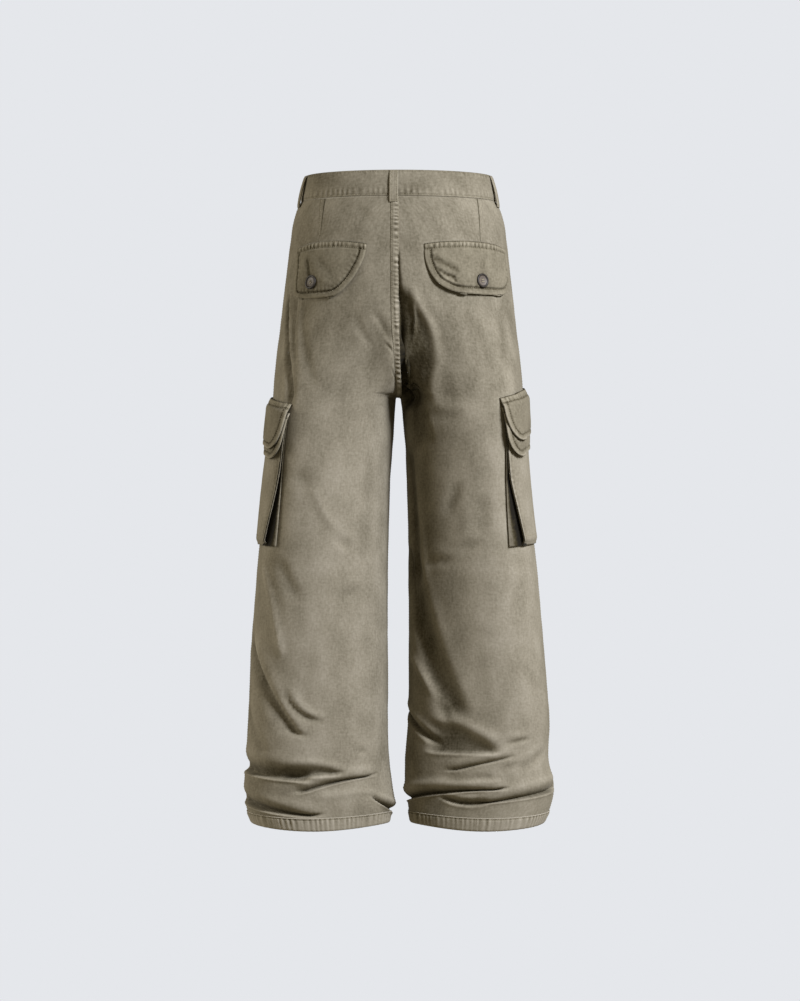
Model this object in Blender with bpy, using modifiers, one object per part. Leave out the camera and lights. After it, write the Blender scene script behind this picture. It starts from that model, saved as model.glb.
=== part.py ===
"""Cargo pants, filled out as if worn, as one closed wall of cloth for each sewn piece.

Metres, +Z up. The origin is the middle of the waistband, half way up it. The seat faces -Y and the wearer's
right side is +X. One half of the body is a surface of turns and heights: turn 0 is the back seam (above the
crotch) or the inseam (below it), 180 is the side seam, and 360 is the front seam or the inseam again.
"""

import math

import bmesh
import bpy
import numpy as np
from mathutils import Matrix, Vector

MM = 0.001

# ---- driving dimensions -------------------------------------------------------------------------------------
BAND_TOP = 0.020
BAND_FOOT = -0.020
CROTCH = -0.321
HEM = -0.993
BACK_RISE = 0.215
FRONT_RISE = 0.135
PANEL_WALL = 1.6 * MM
BAND_WALL = 2.6 * MM
FLAP_WALL = 2.0 * MM
POCKET_WALL = 1.2 * MM
LOOP_WALL = 1.8 * MM
SEAM_GAP = 0.3 * MM
INSIDE_DRAW = 2.5
LIFT = 0.9 * MM
HEM_HEIGHT = 20 * MM
HEM_SWELL = 0.7 * MM
HEM_RISE = 8 * MM
STACK_FOOT = -0.940
LOOP_WIDTH = 13.7 * MM
LOOP_BOW = 1.6 * MM
BUTTON_RADIUS = 11 * MM
WAIST_BUTTON_RADIUS = 9.5 * MM
GIRTH_RADIUS = 0.098
SEAM_REACH = 0.24
SEAM_PULL = 6
SIDE_START, SIDE_RISE = 0.10, 0.25
LEAN = 0.20
SEAT_BEND, FRONT_BEND = 2.8, 2.0
VALLEY_FLAT, VALLEY_FADE = 7.5 * MM, 0.060
VALLEY_TURN, VALLEY_CLOSE = 10.0, 45.0
LEVEL_START, LEVEL_TURNS = 2.0, 15.0
CROTCH_ROUND = 5 * MM
EASE = 0.120
LEFT, RIGHT = -1, 1

# ---- how finely the panels are divided ----------------------------------------------------------------------
PANEL_COLUMNS = 13
SEAT_ROWS = 6
CROTCH_ROWS = 7
LEG_ROWS = 9
STACK_ROWS = 18
STACK_TOP = -0.79


def table(columns, *rows):
    """A table of sizes as one array for each named column."""
    return dict(zip(columns.split(), np.array(rows, float).T))


# Waist and hips: height, half width at the side seams, and how far the seat and the front reach.
TORSO = table(
    "z side seat belly",
    (0.020, 0.1450, 0.1100, 0.1100),
    (-0.020, 0.1520, 0.1150, 0.1130),
    (-0.031, 0.1575, 0.1168, 0.1140),
    (-0.048, 0.1630, 0.1210, 0.1150),
    (-0.079, 0.1680, 0.1260, 0.1160),
    (-0.141, 0.1755, 0.1320, 0.1160),
    (-0.204, 0.1825, 0.1345, 0.1140),
    (-0.266, 0.1895, 0.1310, 0.1110),
    (-0.321, 0.1945, 0.1250, 0.1080),
    (-0.450, 0.2030, 0.1150, 0.1050),
)

# Legs, filled out: height, the side seam's distance from the middle on each leg, the same for the inseam, how
# far the leg's back and front reach, and how square the section is.
LEG = table(
    "z outer_left outer_right inner_left inner_right back front square",
    (-0.150, 0.1765, 0.1765, 0.0030, 0.0030, 0.1300, 0.1150, 0.015),
    (-0.298, 0.1942, 0.1927, 0.0035, 0.0036, 0.1210, 0.1090, 0.030),
    (-0.321, 0.1955, 0.1940, 0.0042, 0.0046, 0.1188, 0.1079, 0.030),
    (-0.360, 0.1985, 0.1955, 0.0070, 0.0075, 0.1150, 0.1060, 0.025),
    (-0.391, 0.2010, 0.1970, 0.0086, 0.0100, 0.1120, 0.1050, 0.022),
    (-0.454, 0.2070, 0.2010, 0.0133, 0.0133, 0.1065, 0.1020, 0.018),
    (-0.516, 0.2130, 0.2065, 0.0148, 0.0148, 0.1025, 0.0990, 0.015),
    (-0.578, 0.2192, 0.2140, 0.0164, 0.0160, 0.0985, 0.0965, 0.012),
    (-0.641, 0.2239, 0.2207, 0.0164, 0.0164, 0.0950, 0.0940, 0.010),
    (-0.703, 0.2285, 0.2254, 0.0164, 0.0164, 0.0915, 0.0915, 0.010),
    (-0.766, 0.2317, 0.2301, 0.0164, 0.0164, 0.0880, 0.0885, 0.010),
    (-0.828, 0.2348, 0.2355, 0.0164, 0.0148, 0.0850, 0.0860, 0.010),
    (-0.890, 0.2379, 0.2340, 0.0140, 0.0105, 0.0830, 0.0845, 0.010),
    (-0.931, 0.2398, 0.2420, 0.0090, 0.0110, 0.0820, 0.0835, 0.010),
    (-0.956, 0.2379, 0.2385, 0.0060, 0.0150, 0.0800, 0.0820, 0.010),
    (-0.976, 0.2345, 0.2335, 0.0115, 0.0170, 0.0780, 0.0800, 0.010),
    (-0.993, 0.2290, 0.2270, 0.0140, 0.0195, 0.0755, 0.0775, 0.010),
)

# How far the back seam stands towards the wearer's left.
SEAT_SEAM = table(
    "z shift",
    (0.020, 0.0074),
    (-0.180, 0.0074),
    (-0.260, 0.0045),
    (-0.325, 0.0000),
)

# The largest folds. Each runs between two places: how far round the cloth (0 the back seam or inseam, 180 the
# side seam, 360 the front seam or inseam) and a height in metres. Its trough has a width and a depth, its upper
# lip stands out by the shoulder, and the cloth above it sinks by the drop, all in mm. The lip's place and width
# and the sunk cloth's place are counted in trough widths above the fold's line, the faded ends in fold lengths.
LIP_PLACE, LIP_WIDTH, DROP_PLACE, CREASE_END = 1.5, 1.1, 0.8, 0.3
CREASES = table(
    "leg turn z turn_end z_end bow width depth shoulder drop",
    # left leg: stacked folds above the hem, and the long folds that lead down into them
    (LEFT, 90, -0.910, 236, -0.886, 0, 13, 6.0, 3.0, 4.0),
    (LEFT, 27, -0.904, 109, -0.934, 6, 9, 4.5, 3.5, 4.0),
    (LEFT, 82, -0.963, 190, -0.942, -4, 9, 5.0, 3.5, 4.0),
    (LEFT, -14, -0.972, 42, -0.934, -3, 9, 5.0, 4.0, 4.0),
    (LEFT, 98, -0.845, 166, -0.685, -2, 14, 4.5, 2.5, 0.0),
    (LEFT, 116, -0.735, 146, -0.575, 6, 16, -3.0, 0.0, 0.0),
    (LEFT, 215, -0.905, 330, -0.925, -8, 10, 5.5, 4.5, 5.0),
    (LEFT, 240, -0.948, 345, -0.962, 6, 9, 4.0, 4.0, 4.0),
    (LEFT, 205, -0.720, 275, -0.860, -6, 17, 4.0, 3.0, 0.0),
    # right leg
    (RIGHT, -18, -0.954, 108, -0.922, 7, 10, 6.5, 4.0, 5.0),
    (RIGHT, 46, -0.936, 98, -0.941, -10, 8, 4.5, 2.0, 3.0),
    (RIGHT, 80, -0.946, 182, -0.927, 1, 9, 5.0, 3.0, 4.0),
    (RIGHT, 54, -0.901, 121, -0.873, 1, 9, 3.0, 2.5, 2.5),
    (RIGHT, 34, -0.860, 108, -0.866, 0, 18, 6.0, 3.5, 2.0),
    (RIGHT, 2, -0.550, 60, -0.830, -13, 18, 4.5, 2.0, 0.0),
    (RIGHT, 200, -0.898, 318, -0.922, -8, 10, 5.5, 4.5, 5.0),
    (RIGHT, 238, -0.940, 350, -0.950, 6, 9, 4.5, 4.0, 4.0),
    (RIGHT, 255, -0.700, 325, -0.860, 6, 17, 4.0, 3.0, 0.0),
    # seat: the valley beside the back seam
    (RIGHT, 12, -0.130, 20, -0.350, 0, 26, 15.0, 5.0, 0.0),
)

# Back pocket flaps: distance below the top edge, and the two ends' distance from the back seam, in mm.
LEFT_FLAP = table(
    "down inner outer",
    (0, 40, 170),
    (22, 44, 172),
    (44, 54, 174),
    (60, 64, 176),
    (72, 74, 177),
    (80, 83, 174),
    (86, 92, 164),
)
RIGHT_FLAP = table(
    "down inner outer",
    (0, 47, 207),
    (22, 48, 212),
    (44, 54, 215.5),
    (58, 61, 214.5),
    (68, 70, 208),
    (76, 85, 197),
    (81, 106, 180),
)

# Cargo pockets, for each leg: the back and front edges' distance from the side seam, how wide the gusset
# spreads at the bottom, how much higher the side seam's end of the flap stands than the back end, how far the
# back edge draws in towards the bottom (mm), and the height of the flap's back end (m).
POCKETS = table(
    "leg back front spread slant taper line",
    (LEFT, 106, 100, 24, 13, 12, -0.3372),
    (RIGHT, 113, 88, 25, 18, 4, -0.3278),
)
POCKET_BOTTOM = -0.5560

# How far the pocket's face stands off the leg, over the side seam and at its edges, in mm.
POCKET_SWELL = table(
    "z middle edge",
    (-0.34, 0.2, 0.6),
    (-0.43, 1.6, 4.0),
    (-0.50, 2.6, 7.5),
    (-0.56, 3.2, 11.0),
)


# ---- the surface of one half of the garment -----------------------------------------------------------------
def smoothstep(t):
    t = np.clip(t, 0, 1)
    return t * t * (3 - 2 * t)


def level(form, column, z):
    """One column of a table at the heights z, on a smooth curve through its rows."""
    heights, values = form["z"][::-1], form[column][::-1]
    slopes = np.gradient(values, heights)
    z = np.clip(z, heights[0], heights[-1])
    i = np.clip(np.searchsorted(heights, z) - 1, 0, len(heights) - 2)
    step = heights[i + 1] - heights[i]
    t = (z - heights[i]) / step
    start = (1 + 2 * t) * (1 - t) ** 2 * values[i] + t * (1 - t) ** 2 * step * slopes[i]
    end = t * t * (3 - 2 * t) * values[i + 1] - t * t * (1 - t) * step * slopes[i + 1]
    return start + end


def ring(leg, turn, z):
    """Points of the smooth half at the turns and heights, with the leg's own side as +X.

    The hips are half an ellipse and the leg is a closed, slightly square ring. Around the crotch one is mixed
    into the other: along the seams with the quarter ellipse of the crotch curve, at the side more gently. The
    seat seam lies on the flat bottom of a valley, and the legs lean a little towards each other at the back.
    """
    at_back = turn <= 180
    across = np.sin(np.radians(turn) / 2) ** 2
    reach = np.where(at_back, -level(TORSO, "seat", z), level(TORSO, "belly", z))
    torso = np.stack([level(TORSO, "side", z) * across, reach * np.sqrt(1 - across**2)])

    side = "left" if leg == LEFT else "right"
    outer, inner = level(LEG, "outer_" + side, z), level(LEG, "inner_" + side, z)
    reach = np.where(at_back, level(LEG, "back", z), level(LEG, "front", z))
    square = level(LEG, "square", z)
    angle = np.radians(turn)
    width = (outer - inner) / 2 * (np.cos(angle) - square * np.cos(3 * angle)) / (1 - square)
    above_crotch = smoothstep((z - CROTCH) / CROTCH_ROUND) * at_back
    level_part = above_crotch * (1 - smoothstep((turn - LEVEL_START) / LEVEL_TURNS))
    sunk = angle * (1 - level_part)
    depth = reach * (np.sin(sunk) + square * np.sin(3 * sunk)) / (1 - square)
    depth = depth * (1 - LEAN * np.cos(angle) * at_back)
    tube = np.stack([(outer + inner) / 2 - width, -depth])

    rise = np.clip((z - CROTCH) / np.where(at_back, BACK_RISE, FRONT_RISE), 0, 1)
    bend = np.where(at_back, SEAT_BEND, FRONT_BEND)
    seam_share = (1 - (1 - rise) ** bend) ** (1 / bend)
    side_share = smoothstep((z - CROTCH + SIDE_START) / SIDE_RISE)
    share = seam_share + (side_share - seam_share) * smoothstep(across / SEAM_REACH)
    x, y = tube + (torso - tube) * share
    joined = smoothstep((z - CROTCH) / CROTCH_ROUND + 1) * (1 - share)
    x = x - inner * joined * (1 - across) ** SEAM_PULL
    opened = smoothstep(turn / VALLEY_TURN) * (1 - smoothstep((turn - VALLEY_TURN) / VALLEY_CLOSE))
    x = x + VALLEY_FLAT * smoothstep((z - CROTCH) / VALLEY_FADE + 1) * at_back * (1 - share) * opened
    x = x - leg * level(SEAT_SEAM, "shift", z) * (1 - across) ** 2 * at_back
    return np.stack([x, y, z], axis=-1)


def creases(leg, turn, z):
    """How far the folds move the cloth: outwards, and down."""
    out, down = np.zeros_like(z), np.zeros_like(z)
    for row in np.array(list(CREASES.values())).T:
        own, turn_a, z_a, turn_b, z_b, bow, width, depth, shoulder, drop = row
        if own != leg:
            continue
        run, climb = math.radians(turn_b - turn_a) * GIRTH_RADIUS, z_b - z_a
        length = math.hypot(run, climb)
        around = (turn - (turn_a + turn_b) / 2 + 180) % 360 - 180
        g, h = np.radians(around) * GIRTH_RADIUS + run / 2, z - z_a
        along = (g * run + h * climb) / length**2
        above = abs(run) / run * (h * run - g * climb) / length - bow * MM * 4 * along * (1 - along)
        above = above / (width * MM)
        fade = smoothstep(along / CREASE_END) * smoothstep((1 - along) / CREASE_END)
        lip = np.exp(-(((above - LIP_PLACE) / LIP_WIDTH) ** 2))
        out += fade * MM * (shoulder * lip - depth * np.exp(-(above**2)))
        down += fade * MM * drop * np.exp(-((above - DROP_PLACE) ** 2))
    out += HEM_SWELL * smoothstep((HEM + HEM_HEIGHT - z) / (3 * MM))
    return out, down


def row_heights():
    """Heights of the rows, from the waist seam to the hem: closest at the crotch and in the stacked folds."""
    top = BAND_FOOT - SEAM_GAP
    curve_top = CROTCH + BACK_RISE
    angles = np.linspace(math.pi / 2, 0, CROTCH_ROWS + 1)[1:]
    curve = CROTCH + BACK_RISE * (1 - np.cos(angles))
    below = CROTCH - 3 * MM
    return np.concatenate(
        [
            np.array([top, -0.031]),
            np.linspace(-0.031, curve_top, SEAT_ROWS)[1:],
            curve,
            np.linspace(below, STACK_TOP, LEG_ROWS + 1),
            np.linspace(STACK_TOP, HEM, STACK_ROWS + 1)[1:],
        ]
    )


def even_row(leg, z):
    """Turns that divide one row evenly from seam to seam, and the lengths of its back and front halves."""
    dense = np.linspace(0, 180, 181)
    turns, lengths = [], []
    for start in (0, 180):
        points = ring(leg, dense + start, np.full_like(dense, z))
        walked = np.concatenate([[0], np.cumsum(np.linalg.norm(np.diff(points, axis=0), axis=1))])
        steps = np.linspace(0, walked[-1], PANEL_COLUMNS + 1)
        turns.append(np.interp(steps, walked, dense + start))
        lengths.append(walked[-1])
    return np.concatenate([turns[0], turns[1][1:]]), lengths


def column_turns(leg, heights):
    """Turns of the columns at each row. Just above the crotch they change slowly from the leg's to the hips'."""
    legs_turns, hips_turns = even_row(leg, CROTCH)[0], even_row(leg, CROTCH + EASE)[0]
    turns, lengths = [], []
    for z in heights:
        row, halves = even_row(leg, z)
        if CROTCH < z < CROTCH + EASE:
            row = legs_turns + (hips_turns - legs_turns) * smoothstep((z - CROTCH) / EASE)
        turns.append(row)
        lengths.append(halves)
    return np.array(turns), np.array(lengths)


def normals(points, closed):
    """Unit outward directions at a grid of points. Rows marked closed go on round the leg, the others mirror."""
    across = np.empty_like(points)
    across[:, 1:-1] = points[:, 2:] - points[:, :-2]
    across[:, 0] = points[:, 1] - points[:, -2]
    across[:, -1] = across[:, 0]
    for edge, neighbour, sign in ((0, 1, 1), (-1, -2, -1)):
        step = np.zeros_like(points[:, 0])
        step[:, 0] = sign * (points[:, neighbour, 0] - points[:, edge, 0])
        across[~closed, edge] = step[~closed]
    down = np.gradient(points, axis=0)
    facing = np.cross(down, across)
    return facing / np.linalg.norm(facing, axis=-1, keepdims=True)


class Half:
    """The cloth of one side of the body, as a grid of rows from waist to hem and columns from back to front."""

    def __init__(self, leg):
        self.leg = leg
        self.heights = row_heights()
        closed = self.heights < CROTCH - MM
        turns, self.lengths = column_turns(leg, self.heights)
        z = np.repeat(self.heights[:, None], turns.shape[1], axis=1)
        smooth = ring(leg, turns, z)
        even = np.linspace(0, 360, 2 * PANEL_COLUMNS + 1) + 0 * z
        out, down = creases(leg, even, z)
        hem_rise = HEM_RISE * np.cos(np.radians(even)) ** 2
        down -= hem_rise * smoothstep((STACK_FOOT - z) / (STACK_FOOT - HEM))
        self.outer = smooth + normals(smooth, closed) * out[..., None]
        self.outer[..., 2] -= down
        self.outer[0, :, 2], self.outer[-1, :, 2] = self.heights[0], self.heights[-1] + hem_rise[-1]
        self.facing = normals(self.outer, closed)
        inward = self.facing.copy()
        inward[[0, -1], :, 2] = 0
        inward /= np.linalg.norm(inward, axis=-1, keepdims=True)
        self.inner = self.outer - PANEL_WALL * inward
        seam = -leg * level(SEAT_SEAM, "shift", self.heights)
        for skin in (self.outer, self.inner):
            self.keep_clear(skin[:, :PANEL_COLUMNS], seam, closed)
            self.keep_clear(skin[:, PANEL_COLUMNS:], 0 * seam, closed)
            skin[..., 0] *= leg
        self.facing[..., 0] *= leg

    @staticmethod
    def keep_clear(skin, seam, closed):
        """Keeps the cloth above the crotch half a seam gap from the middle."""
        least = (seam + SEAM_GAP / 2)[:, None]
        skin[~closed, :, 0] = np.maximum(skin[~closed, :, 0], least[~closed])

    def at(self, around, z):
        """Points and outward directions at distances around from the side seam (+ to the front) and heights."""
        row = np.interp(-z, -self.heights, np.arange(len(self.heights)))
        half = (around > 0).astype(int)
        length = np.interp(-z, -self.heights, self.lengths[:, 0]) * (1 - half)
        length = length + np.interp(-z, -self.heights, self.lengths[:, 1]) * half
        column = np.clip(PANEL_COLUMNS * (1 + around / length), 0, 2 * PANEL_COLUMNS - 1e-6)
        i, j = np.minimum(row.astype(int), len(self.heights) - 2), column.astype(int)
        u, v = (row - i)[..., None], (column - j)[..., None]
        found = []
        for grid in (self.outer, self.facing):
            top = grid[i, j] * (1 - v) + grid[i, j + 1] * v
            foot = grid[i + 1, j] * (1 - v) + grid[i + 1, j + 1] * v
            found.append(top * (1 - u) + foot * u)
        return found[0], found[1] / np.linalg.norm(found[1], axis=-1, keepdims=True)

    def back_length(self, z):
        """Distance along the cloth from the back seam to the side seam."""
        return np.interp(-z, -self.heights, self.lengths[:, 0])

    def front_length(self, z):
        """Distance along the cloth from the side seam to the front seam."""
        return np.interp(-z, -self.heights, self.lengths[:, 1])


# ---- making solids ------------------------------------------------------------------------------------------
def finish(name, colour, roughness, metallic=0.0):
    """A Principled material."""
    material = bpy.data.materials.new(name)
    material.use_nodes = True
    shader = material.node_tree.nodes["Principled BSDF"]
    shader.inputs["Base Color"].default_value = (*colour, 1)
    shader.inputs["Roughness"].default_value = roughness
    shader.inputs["Metallic"].default_value = metallic
    return material


def place(name, mesh, material, collection):
    """Puts a finished bmesh in the collection as a named object, with its faces pointing out."""
    bmesh.ops.recalc_face_normals(mesh, faces=mesh.faces)
    if mesh.calc_volume(signed=True) < 0:
        bmesh.ops.reverse_faces(mesh, faces=mesh.faces)
    data = bpy.data.meshes.new(name)
    mesh.to_mesh(data)
    mesh.free()
    data.materials.append(material)
    data.shade_smooth()
    thing = bpy.data.objects.new(name, data)
    collection.objects.link(thing)
    return thing


def wall(name, outer, inner, material, collection):
    """A closed wall between two grids of points: the outer skin is a grid, the inner one is extruded from it."""
    rows, columns = outer.shape[:2]
    mesh = bmesh.new()
    bmesh.ops.create_grid(mesh, x_segments=columns - 1, y_segments=rows - 1, size=0.5)
    spot = mesh.verts.layers.int.new("spot")
    for index, vertex in enumerate(mesh.verts):
        vertex[spot] = index
    grown = bmesh.ops.extrude_face_region(mesh, geom=mesh.faces[:])["geom"]
    inner_vertices = {item for item in grown if isinstance(item, bmesh.types.BMVert)}
    outer, inner = outer.reshape(-1, 3), inner.reshape(-1, 3)
    for vertex in mesh.verts:
        skin = inner if vertex in inner_vertices else outer
        vertex.co = skin[vertex[spot]]
    return place(name, mesh, material, collection)


def panel(name, half, first, last, material, collection):
    """One leg panel: the columns from first to last, drawn back at both edges, a little more on the inside.

    Its seams lie in the plane y = 0 and it stays half a seam gap from that plane.
    """
    way = -1 if first == 0 else 1
    outer, inner = half.outer[:, first : last + 1].copy(), half.inner[:, first : last + 1].copy()
    for edge, neighbour in ((0, 1), (-1, -2)):
        step = outer[:, neighbour] - outer[:, edge]
        step *= SEAM_GAP / 2 / np.linalg.norm(step, axis=1, keepdims=True)
        outer[:, edge] += step
        inner[:, edge] += INSIDE_DRAW * step
    for skin in (outer, inner):
        skin[..., 1] = way * np.maximum(way * skin[..., 1], SEAM_GAP / 2)
    return wall(name, outer, inner, material, collection)


def patch(name, half, around, z, lift, thickness, material, collection):
    """A piece that lies on a panel: made from the panel's points at those spots, moved out by the lift."""
    points, facing = half.at(around, z)
    inner = points + facing * np.broadcast_to(lift, z.shape)[..., None]
    own = np.cross(np.gradient(inner, axis=0), np.gradient(inner, axis=1))
    own /= np.linalg.norm(own, axis=-1, keepdims=True)
    own *= np.sign((own * facing).sum(-1, keepdims=True))
    return wall(name, inner + own * thickness, inner, material, collection)


# ---- the pieces ---------------------------------------------------------------------------------------------
def band_point(turn, z, out):
    """A point of the waistband. Turn 0 is the front, 90 the wearer's left, 180 the back, 270 the right."""
    share = (z - BAND_FOOT) / (BAND_TOP - BAND_FOOT)
    side = TORSO["side"][1] + (TORSO["side"][0] - TORSO["side"][1]) * share
    angle = math.radians(turn)
    column = "belly" if math.cos(angle) > 0 else "seat"
    reach = TORSO[column][1] + (TORSO[column][0] - TORSO[column][1]) * share
    facing = Vector((-math.sin(angle) / side, math.cos(angle) / reach, 0)).normalized()
    return Vector((-math.sin(angle) * side, math.cos(angle) * reach, z)) + facing * out, facing


BAND_PROUD = 0.6 * MM
OVERLAP_START, UNDERLAP_END = -9.0, 367.0
OVERLAP_LIFT = BAND_WALL + 0.5 * MM


def waistband(material, collection):
    """A strip round the waist whose left end lies over its right end at the front."""
    turns = np.concatenate([np.linspace(OVERLAP_START, 30, 8), np.linspace(36, UNDERLAP_END, 43)])
    heights = np.linspace(BAND_TOP, BAND_FOOT, 3)
    lifts = OVERLAP_LIFT * (1 - smoothstep((turns - 8) / 18)) + BAND_PROUD
    outer = [[band_point(t, z, lift)[0] for t, lift in zip(turns, lifts)] for z in heights]
    inner = [[band_point(t, z, lift - BAND_WALL)[0] for t, lift in zip(turns, lifts)] for z in heights]
    return wall("waistband", np.array(outer), np.array(inner), material, collection)


LOOP_TOP, LOOP_FOOT = 0.0192, -0.0300
SIDE_LOOP, FRONT_LOOP = 0.89, 1.52
LOOP_ROWS = 9


def belt_loop(name, half, back_share, material, collection):
    """A strip sewn down at the band's top and below its foot, bowed clear of the band between them.

    back_share says where it stands: 0 at the back seam, 1 at the side seam, 2 at the front seam.
    """
    z_foot = np.array(LOOP_FOOT)
    if back_share <= 1:
        around = (back_share - 1) * half.back_length(z_foot)
    else:
        around = (back_share - 1) * half.front_length(z_foot)
    foot, _ = half.at(np.array(around), z_foot)
    foot = Vector(foot)
    turn = math.degrees(math.atan2(-foot.x / TORSO["side"][1], foot.y / TORSO["belly"][1])) % 360
    top, facing = band_point(turn, LOOP_TOP, BAND_PROUD + 0.4 * MM)
    foot += facing * LIFT
    sideways = Vector((0, 0, 1)).cross(facing)
    outer, inner = [], []
    for t in np.linspace(0, 1, LOOP_ROWS):
        middle = top.lerp(foot, t) + facing * LOOP_BOW * math.sin(math.pi * t)
        edges = [middle - sideways * LOOP_WIDTH / 2, middle + sideways * LOOP_WIDTH / 2]
        inner.append(edges)
        outer.append([edge + facing * LOOP_WALL for edge in edges])
    return wall(name, np.array(outer), np.array(inner), material, collection)


FLAP_TOP = -0.0885
FLAP_ARCH = 7 * MM
FLAP_COLUMNS = 13


def back_flap(name, half, outline, material, collection):
    """A back pocket flap: straight at the outer end, with a long round corner towards the back seam."""
    share = np.linspace(0, 1, FLAP_COLUMNS + 1)
    around, heights = [], []
    for down, inner, outer in np.array(list(outline.values())).T * MM:
        z = FLAP_TOP - down - FLAP_ARCH * (2 * share - 0.9) ** 2 * (1 - down / 0.09)
        around.append(inner + (outer - inner) * share - half.back_length(z))
        heights.append(z)
    return patch(name, half, np.array(around), np.array(heights), LIFT, FLAP_WALL, material, collection)


SLANT_END = 1.6


def slant(sizes, around):
    """How much higher than its back end the flap's edge stands, at distances from the side seam."""
    share = np.clip((around / MM + sizes["back"]) / sizes["back"], 0, SLANT_END)
    return sizes["slant"] * MM * share * (2 * SLANT_END - share) / (2 * SLANT_END - 1)


def swell(sizes, around, z):
    """How far the pocket's face stands off the leg: least over the side seam, most at its edges."""
    share = np.clip(2 * (around / MM + sizes["back"]) / (sizes["back"] + sizes["front"]) - 1, -1, 1)
    middle, edge = level(POCKET_SWELL, "middle", z), level(POCKET_SWELL, "edge", z)
    return (middle + (edge - middle) * share**2) * MM


FACE_COLUMNS, GUSSET_COLUMNS, FACE_ROWS = 11, 3, 10
GUSSET_LEAST, GUSSET_DROP, GUSSET_FALL = 2 * MM, 0.09, 0.17
FOOT_GUSSET = 9 * MM
POCKET_LIFT = 2.1 * MM
MOUTH_DROP = 28 * MM


def cargo_pocket(name, half, sizes, material, collection):
    """The bellows pocket: a face that stands off the leg on gussets, open at its mouth under the flaps."""
    mouth = sizes["line"] - MOUTH_DROP
    heights = np.linspace(mouth, POCKET_BOTTOM + FOOT_GUSSET, FACE_ROWS)
    face, gusset = np.linspace(0, 1, FACE_COLUMNS), np.linspace(0, 1, GUSSET_COLUMNS + 1)[:-1]
    front = sizes["front"] * MM
    around, z_rows, lifts = [], [], []
    for z in [*heights, POCKET_BOTTOM]:
        drop = (mouth - z) / (mouth - POCKET_BOTTOM)
        back = (sizes["taper"] * drop - sizes["back"]) * MM
        opening = smoothstep((sizes["line"] - GUSSET_DROP - z) / GUSSET_FALL)
        spread = GUSSET_LEAST + sizes["spread"] * MM * opening
        start, end = back + spread, front - spread
        columns = [back + spread * gusset, start + (end - start) * face, front - spread * gusset[::-1]]
        around.append(np.concatenate(columns))
        z_rows.append(z + slant(sizes, around[-1]) * (1 - 0.7 * drop))
        rise = np.concatenate([gusset, np.ones(FACE_COLUMNS), gusset[::-1]]) * (z > POCKET_BOTTOM)
        lifts.append(POCKET_LIFT + swell(sizes, around[-1], z) * rise)
    around, z_rows, lifts = np.array(around), np.array(z_rows), np.array(lifts)
    return patch(name, half, around, z_rows, lifts, POCKET_WALL, material, collection)


FLAP_CORNER, FLAP_INSET = 46 * MM, 30 * MM
FLAP_OVERHANG = 2 * MM
PLY_GAP = 1.6 * MM


# The two flaps of a cargo pocket: how far below the flap line each is sewn on, its height, and the height over
# which it comes away from the leg, in metres.
LOWER_FLAP, UPPER_FLAP = (0.014, 0.079, 0.012), (0.000, 0.076, 0.016)


def cargo_flap(name, half, sizes, fall, height, ramp, lift, material, collection):
    """A flap over the cargo pocket with two round lower corners.

    It is sewn on at fall below its line and stands off by the lift and the pocket's swell from the ramp down.
    """
    straight = height - FLAP_CORNER
    corner = straight + FLAP_CORNER * np.sin(np.linspace(0, 0.93, 6) * math.pi / 2)
    around, heights, lifts = [], [], []
    for down in [*np.linspace(0, straight, 4)[:-1], *corner]:
        inset = FLAP_INSET * (1 - math.sqrt(1 - max(0, (down - straight) / FLAP_CORNER) ** 2))
        back = -sizes["back"] * MM - FLAP_OVERHANG + inset
        front = sizes["front"] * MM + FLAP_OVERHANG - inset
        around.append(np.linspace(back, front, FACE_COLUMNS + 2))
        heights.append(sizes["line"] - fall - down + slant(sizes, around[-1]))
        stand = lift - POCKET_LIFT + swell(sizes, around[-1], sizes["line"] - fall - down)
        lifts.append(POCKET_LIFT + stand * smoothstep(down / ramp))
    around, heights, lifts = np.array(around), np.array(heights), np.array(lifts)
    return patch(name, half, around, heights, lifts, POCKET_WALL, material, collection)


FLY_WIDTH, FLY_TOP, FLY_FOOT = 37 * MM, -0.0215, -0.195
FLY_STRAIGHT = 0.68


def fly_placket(half, material, collection):
    """The fly's strip on the left front, with the curve at its foot."""
    share = np.linspace(0, 1, 5)
    around, heights = [], []
    curve = np.sin(np.linspace(0.25, 0.97, 5) * math.pi / 2)
    for t in [*np.linspace(0, FLY_STRAIGHT, 6), *(FLY_STRAIGHT + (1 - FLY_STRAIGHT) * curve)]:
        z = FLY_TOP + (FLY_FOOT - FLY_TOP) * t
        width = FLY_WIDTH * math.sqrt(max(0, 1 - (max(0, t - FLY_STRAIGHT) / (1 - FLY_STRAIGHT)) ** 2))
        around.append(half.front_length(np.array(z)) - 1.0 * MM - width * (1 - share))
        heights.append(np.full_like(share, z))
    return patch(
        "fly_placket", half, np.array(around), np.array(heights), LIFT, PANEL_WALL, material, collection
    )


BUTTON_PROFILE = table(
    "radius height",
    (0.00, 0.00),
    (0.93, 0.00),
    (1.00, 0.06),
    (1.00, 0.22),
    (0.93, 0.28),
    (0.80, 0.28),
    (0.68, 0.19),
    (0.00, 0.17),
)
HOLE_RADIUS, HOLE_PLACE = 1.1 * MM, 2.2 * MM

# The back buttons' distance from the back seam and height, and the waist button's turn round the band.
LEFT_BUTTON, RIGHT_BUTTON = (0.134, -0.151), (0.141, -0.149)
WAIST_BUTTON_TURN, WAIST_BUTTON_LIFT = -3.5, 1.1 * MM


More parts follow.
